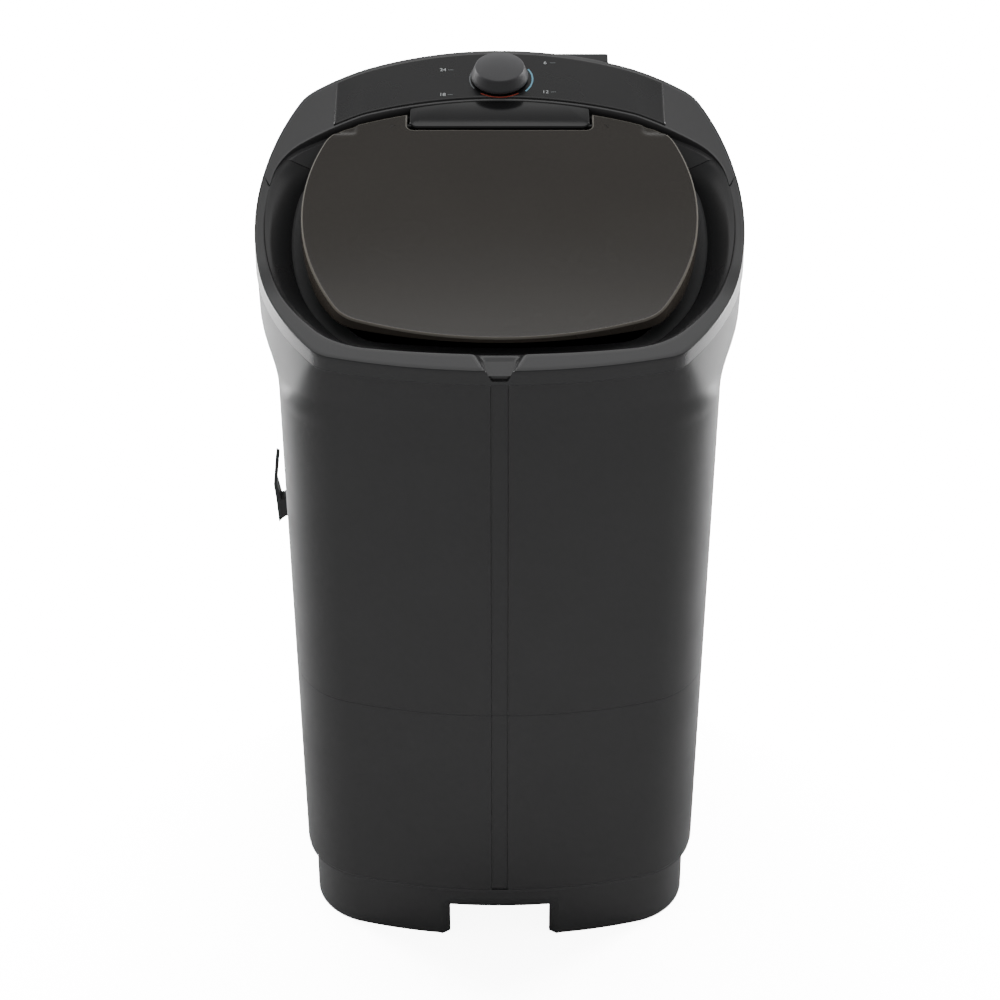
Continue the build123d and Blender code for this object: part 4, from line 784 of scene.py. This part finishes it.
def make_knob(sizes):
    """Knob: a tapered profile turned round its axis, from a rounded foot to a domed
    top, set on the deck's slope."""
    radius = sizes.knob_radius / MM
    top_radius = radius * 0.825
    height = sizes.knob_height / MM
    low = 0.8
    top = low + height
    turn = np.linspace(0, math.pi / 2, 7)
    profile = [(4.0, low + 1.0), (radius - 6.0, low + 1.0), (radius - 5.2, low)]
    profile += [(radius - 4.6 + 4.6 * math.sin(t), low + 4.6 - 4.6 * math.cos(t)) for t in turn]
    side = np.linspace(0, 1, 7)[1:]
    profile += [(radius + (top_radius + 1.4 - radius) * s, low + 4.6 + (height - 9.0) * s)
                for s in side]
    profile += [(top_radius + 1.1, top - 3.7), (top_radius + 0.4, top - 3.2),
                (top_radius - 0.4, top - 3.0)]
    profile += [(top_radius * s, top - 3.2 * s ** 2.4) for s in (0.92, 0.85, 0.7, 0.5, 0.3, 0.12)]
    profile += [(0.0, top)]
    profile = [(0.0, low + 1.0)] + profile
    around = np.linspace(0, 2 * math.pi, 144, endpoint=False)
    rings = np.asarray([np.stack([r * np.cos(around), r * np.sin(around),
                                  np.full(144, z)], 1) for r, z in profile])
    tilt = math.radians(8.0)
    turn = np.array([[1, 0, 0], [0, math.cos(tilt), -math.sin(tilt)],
                     [0, math.sin(tilt), math.cos(tilt)]])
    base = np.array([0.0, KNOB_Y, REAR - (RIM[2] - KNOB_Y) * DECK_SLOPE])
    made = sweep("knob_grip", rings @ turn.T + base, angle=34)
    return keep(made, "knob", "timer_knob", slot="knob_plastic", material=paint("knob"))


def make_pulsator(sizes):
    """Pulsator: a height over radius and angle. The dome falls from the hub by a power
    law, and four bent vanes rise from it by smooth steps across their width."""
    around = np.linspace(0, 2 * math.pi, 240, endpoint=False)
    low, edge, crown, hub, outer = 348.5, 355.5, 382.5, 24.0, 150.0
    radii = np.r_[5.5, 8, 14, 20, hub, np.linspace(28, 140, 38), 144, 147, 149, outer]

    def height(radius, angle):
        part = np.clip((radius - hub) / (outer - 4 - hub), 0, 1)
        dome = edge + (crown - edge) * (1 - part) ** 1.7
        bend = 14.0 * np.sin(math.pi * np.clip((radius - 28) / 110, 0, 1))
        spread = (angle + math.pi / 4) % (math.pi / 2) - math.pi / 4
        side = radius * np.sin(spread) - bend
        width = 1 - smooth_step((np.abs(side) - 3.4) / 5.0)
        ends = smooth_step((radius - 27) / 8) * (1 - smooth_step((radius - 128) / 10))
        vane = np.clip(low + 27.0 - dome, 0, None)
        rim = 1.2 * smooth_step((radius - 147) / 3)
        return np.minimum(dome + vane * width * ends - rim, crown)

    rings = []
    for radius in radii:
        z = height(np.full(240, radius), around)
        rings.append(np.stack([radius * np.cos(around), SHAFT_Y + radius * np.sin(around), z], 1))
    for radius, z in ((outer, low + 3), (outer, low), (outer - 4, low), (outer - 5, low + 3),
                      (hub, low + 20), (6.02, low + 20), (5.5, low + 26)):
        rings.append(np.stack([radius * np.cos(around), SHAFT_Y + radius * np.sin(around),
                               np.full(240, z)], 1))
    made = sweep("pulsator_disc", rings, wrap_rows=True, angle=34)
    return keep(made, "agitator", "pulsator", slot="agitator_plastic",
                material=paint("agitator"))


# Dial marks

def on_deck(plan, height):
    """Plan points laid on the deck and raised by a height."""
    return lift(plan, deck_level(plan[:, 0], plan[:, 1]) + height)


def make_arc_mark(name, start, end, inner, outer, ink):
    """A printed arc: a thin block between two radii round the knob, laid on the foil."""
    angle = np.radians(np.linspace(start, end, 40))
    way = np.stack([np.cos(angle), np.sin(angle) * math.cos(math.radians(8.0))], 1)
    centre = np.array([0.0, KNOB_Y])
    plan_in, plan_out = centre + way * inner, centre + way * outer
    low, high = 0.45, 0.66
    rings = [on_deck(plan_in, low), on_deck(plan_in, high), on_deck(plan_out, high),
             on_deck(plan_out, low)]
    grid = np.asarray(rings)
    rows, count = grid.shape[:2]
    faces = grid_faces(rows, count, wrap_columns=False, wrap_rows=True)
    faces += end_faces(rows, count)
    made = put_mesh(name, grid.reshape(-1, 3), faces, 40)
    return keep(made, "cabinet", material=paint(ink))


def make_bar_mark(name, x, y, length, width, ink):
    """A printed bar, laid on the foil."""
    corners = np.array([[x - length / 2, y - width / 2], [x + length / 2, y - width / 2],
                        [x + length / 2, y + width / 2], [x - length / 2, y + width / 2]])
    made = sweep(name, [on_deck(corners, 0.45), on_deck(corners, 0.66)], caps=True)
    return keep(made, "cabinet", material=paint(ink))


def make_number(name, text, x, y, size, ink):
    """A printed number: flat text made a mesh, laid on the deck's slope."""
    curve = bpy.data.curves.new(name, "FONT")
    curve.body = text
    curve.size = size * MM
    curve.extrude = 0.0001
    curve.align_x = "CENTER"
    curve.align_y = "CENTER"
    holder = bpy.data.objects.new(name + "_text", curve)
    bpy.context.scene.collection.objects.link(holder)
    bpy.context.view_layer.update()
    mesh = bpy.data.meshes.new_from_object(holder)
    bpy.data.objects.remove(holder)
    points = np.zeros(len(mesh.vertices) * 3)
    mesh.vertices.foreach_get("co", points)
    points = points.reshape(-1, 3) / MM
    plan = points[:, :2] + [x, y]
    placed = on_deck(plan, 0.56 + points[:, 2])
    mesh.vertices.foreach_set("co", (placed * MM).ravel())
    mesh.update()
    made = bpy.data.objects.new(name, mesh)
    bpy.context.scene.collection.objects.link(made)
    return keep(made, "cabinet", material=paint(ink))


def make_dial(sizes):
    """Dial marks round the knob: arcs, ticks and plain numbers."""
    r = sizes.dial_radius / MM
    make_arc_mark("dial_arc_left", 150, 212, r - 2.6, r - 1.2, "ink_grey")
    make_arc_mark("dial_arc_front", 232, 308, r - 2.1, r - 0.6, "ink_red")
    make_arc_mark("dial_arc_right", 322, 390, r + 0.6, r + 2.4, "ink_blue")
    places = ((-63.4, 224.4, "24"), (-63.4, 178.6, "18"), (51.0, 237.5, "6"), (51.0, 183.5, "12"))
    for count, (x, y, text) in enumerate(places):
        make_number(f"dial_number_{count}", text, x, y, 7.5, "ink_white")
        make_bar_mark(f"dial_tick_{count}", x + 8.6, y, 6.0, 0.9, "ink_grey")


# Stage

def area_light(name, place, target, size, power):
    """A soft rectangular light that looks at a point."""
    lamp = bpy.data.lights.new(name, "AREA")
    lamp.shape = "RECTANGLE"
    lamp.size, lamp.size_y = size
    lamp.energy = power
    holder = bpy.data.objects.new(name, lamp)
    bpy.context.scene.collection.objects.link(holder)
    holder.location = place
    holder.rotation_euler = (Vector(target) - Vector(place)).to_track_quat("-Z", "Y").to_euler()
    return holder


def make_stage(settings):
    """Pale floor, white surroundings, three soft lights and the camera."""
    size = 14.0
    corners = [(-size, -size, 0), (size, -size, 0), (size, size, 0), (-size, size, 0)]
    mesh = bpy.data.meshes.new("studio_floor")
    mesh.from_pydata(corners, [], [(0, 1, 2, 3)])
    floor = bpy.data.objects.new("studio_floor", mesh)
    bpy.context.scene.collection.objects.link(floor)
    # White paper sweep: seen directly it is bright, and what it throws back is dimmer, most
    # of all in front, as where black cards stand round a glossy dark product.
    made, tree = start_material("white_paper_floor")
    paper = add(tree, "ShaderNodeBsdfDiffuse", {"Color": (settings.floor_seen,) * 3 + (1.0,)})
    glow = add(tree, "ShaderNodeEmission", {"Strength": settings.floor_glow})
    seen = add(tree, "ShaderNodeAddShader", None,
               {0: paper.outputs["BSDF"], 1: glow.outputs["Emission"]})
    place = add(tree, "ShaderNodeSeparateXYZ", None,
                {"Vector": add(tree, "ShaderNodeTexCoord").outputs["Object"]})
    share = add(tree, "ShaderNodeMapRange",
                {"From Min": -0.3, "From Max": 0.9, "To Min": settings.floor_thrown,
                 "To Max": settings.floor_thrown * settings.floor_behind},
                {"Value": place.outputs["Y"]}, interpolation_type="SMOOTHSTEP")
    thrown = add(tree, "ShaderNodeBsdfDiffuse", None, {"Color": share.outputs["Result"]})
    ray = add(tree, "ShaderNodeLightPath").outputs["Is Camera Ray"]
    both = add(tree, "ShaderNodeMixShader", None,
               {0: ray, 1: thrown.outputs["BSDF"], 2: seen.outputs["Shader"]})
    add(tree, "ShaderNodeOutputMaterial", None, {"Surface": both.outputs["Shader"]})
    mesh.materials.append(made)
    world = bpy.data.worlds.new("studio")
    bpy.context.scene.world = world
    world.use_nodes = True
    tree = world.node_tree
    tree.nodes.clear()
    # The room is bright behind the machine and dimmer overhead and in front of it.
    way = add(tree, "ShaderNodeSeparateXYZ", None,
              {"Vector": add(tree, "ShaderNodeTexCoord").outputs["Generated"]})
    behind = add(tree, "ShaderNodeMapRange",
                 {"From Min": -0.1, "From Max": 0.7, "To Min": 0.36, "To Max": 1.0},
                 {"Value": way.outputs["Y"]}, interpolation_type="SMOOTHSTEP")
    above = add(tree, "ShaderNodeMapRange",
                {"From Min": 0.35, "From Max": 0.85, "To Min": 1.0, "To Max": 0.5},
                {"Value": way.outputs["Z"]}, interpolation_type="SMOOTHSTEP")
    share = add(tree, "ShaderNodeMath", None,
                {0: behind.outputs["Result"], 1: above.outputs["Result"]}, operation="MULTIPLY")
    power = add(tree, "ShaderNodeMath", {1: settings.surround},
                {0: share.outputs["Value"]}, operation="MULTIPLY")
    back = add(tree, "ShaderNodeBackground", {"Color": (1.0, 1.0, 1.0, 1.0)},
               {"Strength": power.outputs["Value"]})
    add(tree, "ShaderNodeOutputWorld", None, {"Surface": back.outputs["Background"]})
    area_light("top_softbox", (0.0, 0.6, 3.2), (0, 0, 0.6), (2.4, 1.6), settings.top_power)
    for side, name in ((-1, "left_strip"), (1, "right_strip")):
        area_light(name, (side * 2.2, 1.4, 0.6), (0, 0, 0.45), (0.8, 1.8), settings.side_power)
    camera = bpy.data.cameras.new("camera")
    camera.sensor_width = 36.0
    camera.lens = 110.2
    camera.clip_start, camera.clip_end = 0.1, 60.0
    holder = bpy.data.objects.new("camera", camera)
    bpy.context.scene.collection.objects.link(holder)
    pitch, distance = math.radians(36.0), 3.5
    holder.location = (0.0004, -distance * math.cos(pitch), 0.45 + distance * math.sin(pitch))
    holder.rotation_euler = (math.radians(90.0) - pitch, 0.0, 0.0)
    bpy.context.scene.camera = holder


# Settings that a user would change

def length(name, words, default):
    return bpy.props.FloatProperty(name=name, description=words, default=default, min=0.0,
                                   unit="LENGTH", subtype="DISTANCE", precision=5)


def tint(name, words, code):
    return bpy.props.FloatVectorProperty(name=name, description=words, default=linear(code),
                                         size=4, min=0.0, max=1.0, subtype="COLOR")


class WasherSizes(bpy.types.PropertyGroup):
    """Sizes of the dressed surfaces, in metres."""
    wall: length("Wall", "Thickness of the cabinet's wall", 0.0035)
    seam: length("Seam", "Height of the faint line round the cabinet", 0.343)
    groove: length("Seam depth", "Depth of that line", 0.0002)
    channel: length("Channel", "Depth of the channel down the front", 0.0016)
    base_inset: length("Base inset", "How far the base stands in from the cabinet", 0.0095)
    notch_width: length("Notch width", "Width of the base's front notch", 0.115)
    notch_height: length("Notch height", "Height of the base's front notch", 0.047)
    edge_round: length("Edge", "Rounding of the frame's and panel's edges", 0.0014)
    foil: length("Foil", "Height of the foil's face above the deck", 0.0005)
    foil_half: length("Foil half width", "Half the foil's width", 0.182)
    lid_wall: length("Lid wall", "Thickness of the lid", 0.0026)
    knob_radius: length("Knob radius", "Radius at the knob's foot", 0.032)
    knob_height: length("Knob height", "Height of the knob", 0.02)
    dial_radius: length("Dial radius", "Radius of the printed arcs", 0.0352)


class WasherColours(bpy.types.PropertyGroup):
    """Colours of the main materials."""
    cabinet: tint("Cabinet", "Cabinet plastic", "#2d2d2e")
    base: tint("Base", "Base plastic", "#363637")
    frame: tint("Frame", "Top frame plastic", "#303031")
    panel: tint("Panel", "Panel plastic", "#3c3c3d")
    foil: tint("Foil", "Printed foil", "#161617")
    lid: tint("Lid", "Smoked lid plastic", "#363028")
    knob: tint("Knob", "Knob plastic", "#4c4c4e")
    agitator: tint("Pulsator", "Pulsator plastic", "#a7adb3")


class WasherStage(bpy.types.PropertyGroup):
    """Studio settings."""
    surround: bpy.props.FloatProperty(name="Surround", description="Strength of the white room",
                                      default=1.2, min=0.0)
    floor_seen: bpy.props.FloatProperty(name="Floor seen", default=10.0, min=0.0,
                                        description="Brightness of the floor to the camera")
    floor_glow: bpy.props.FloatProperty(name="Floor glow", default=8.0, min=0.0,
                                        description="Even light added to the floor as seen")
    floor_thrown: bpy.props.FloatProperty(name="Floor thrown", default=0.92, min=0.0,
                                          description="Share of light that the floor throws back")
    floor_behind: bpy.props.FloatProperty(name="Floor behind", default=2.3, min=0.0,
                                          description="How much more it throws behind")
    top_power: bpy.props.FloatProperty(name="Top light", description="Power of the top light",
                                       default=18.0, min=0.0, unit="POWER")
    side_power: bpy.props.FloatProperty(name="Side lights", description="Power of each strip",
                                        default=80.0, min=0.0, unit="POWER")


# Operators

class WASHER_OT_cabinet(bpy.types.Operator):
    """Build the cabinet and the base"""
    bl_idname = "washer.cabinet"
    bl_label = "Cabinet and base"

    def execute(self, context):
        make_cabinet(context.scene.washer_sizes)
        make_base(context.scene.washer_sizes)
        return {"FINISHED"}


class WASHER_OT_frame(bpy.types.Operator):
    """Build the top frame"""
    bl_idname = "washer.frame"
    bl_label = "Top frame"

    def execute(self, context):
        make_frame(context.scene.washer_sizes)
        return {"FINISHED"}


class WASHER_OT_panel(bpy.types.Operator):
    """Build the rear cover, its foil and its tab"""
    bl_idname = "washer.panel"
    bl_label = "Panel"

    def execute(self, context):
        sizes = context.scene.washer_sizes
        make_panel(sizes)
        make_foil(sizes)
        make_tab(sizes)
        make_dial(sizes)
        return {"FINISHED"}


class WASHER_OT_lid(bpy.types.Operator):
    """Build the lid"""
    bl_idname = "washer.lid"
    bl_label = "Lid"

    def execute(self, context):
        make_lid(context.scene.washer_sizes)
        return {"FINISHED"}


class WASHER_OT_turning(bpy.types.Operator):
    """Build the knob and the pulsator"""
    bl_idname = "washer.turning"
    bl_label = "Knob and pulsator"

    def execute(self, context):
        make_knob(context.scene.washer_sizes)
        make_pulsator(context.scene.washer_sizes)
        return {"FINISHED"}


class WASHER_OT_finishes(bpy.types.Operator):
    """Give the remaining CAD parts their materials"""
    bl_idname = "washer.finishes"
    bl_label = "Finishes"

    def execute(self, context):
        for node, name in PLAIN.items():
            part = frame["nodes"][node]
            part.data.materials.clear()
            part.data.materials.append(paint(name))
        return {"FINISHED"}


class WASHER_OT_stage(bpy.types.Operator):
    """Build the floor, the lights and the camera"""
    bl_idname = "washer.stage"
    bl_label = "Stage"

    def execute(self, context):
        make_stage(context.scene.washer_stage)
        return {"FINISHED"}


STEPS = ("cabinet", "frame", "panel", "lid", "turning", "finishes", "stage")


class WASHER_PT_panel(bpy.types.Panel):
    """Lists the steps and the settings"""
    bl_idname = "WASHER_PT_panel"
    bl_label = "Washer"
    bl_space_type = "VIEW_3D"
    bl_region_type = "UI"
    bl_category = "Washer"

    def draw(self, context):
        for step in STEPS:
            self.layout.operator("washer." + step)
        for group in (context.scene.washer_sizes, context.scene.washer_colours,
                      context.scene.washer_stage):
            box = self.layout.box()
            for name in group.__annotations__:
                box.prop(group, name)


CLASSES = (WasherSizes, WasherColours, WasherStage, WASHER_OT_cabinet, WASHER_OT_frame,
           WASHER_OT_panel, WASHER_OT_lid, WASHER_OT_turning, WASHER_OT_finishes,
           WASHER_OT_stage, WASHER_PT_panel)


def register():
    for item in CLASSES:
        bpy.utils.register_class(item)
    bpy.types.Scene.washer_sizes = bpy.props.PointerProperty(type=WasherSizes)
    bpy.types.Scene.washer_colours = bpy.props.PointerProperty(type=WasherColours)
    bpy.types.Scene.washer_stage = bpy.props.PointerProperty(type=WasherStage)


def unregister():
    for name in ("washer_sizes", "washer_colours", "washer_stage"):
        delattr(bpy.types.Scene, name)
    for item in reversed(CLASSES):
        bpy.utils.unregister_class(item)


def main():
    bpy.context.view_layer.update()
    register()
    for step in STEPS:
        getattr(bpy.ops.washer, step)()


if __name__ == "__main__":
    main()
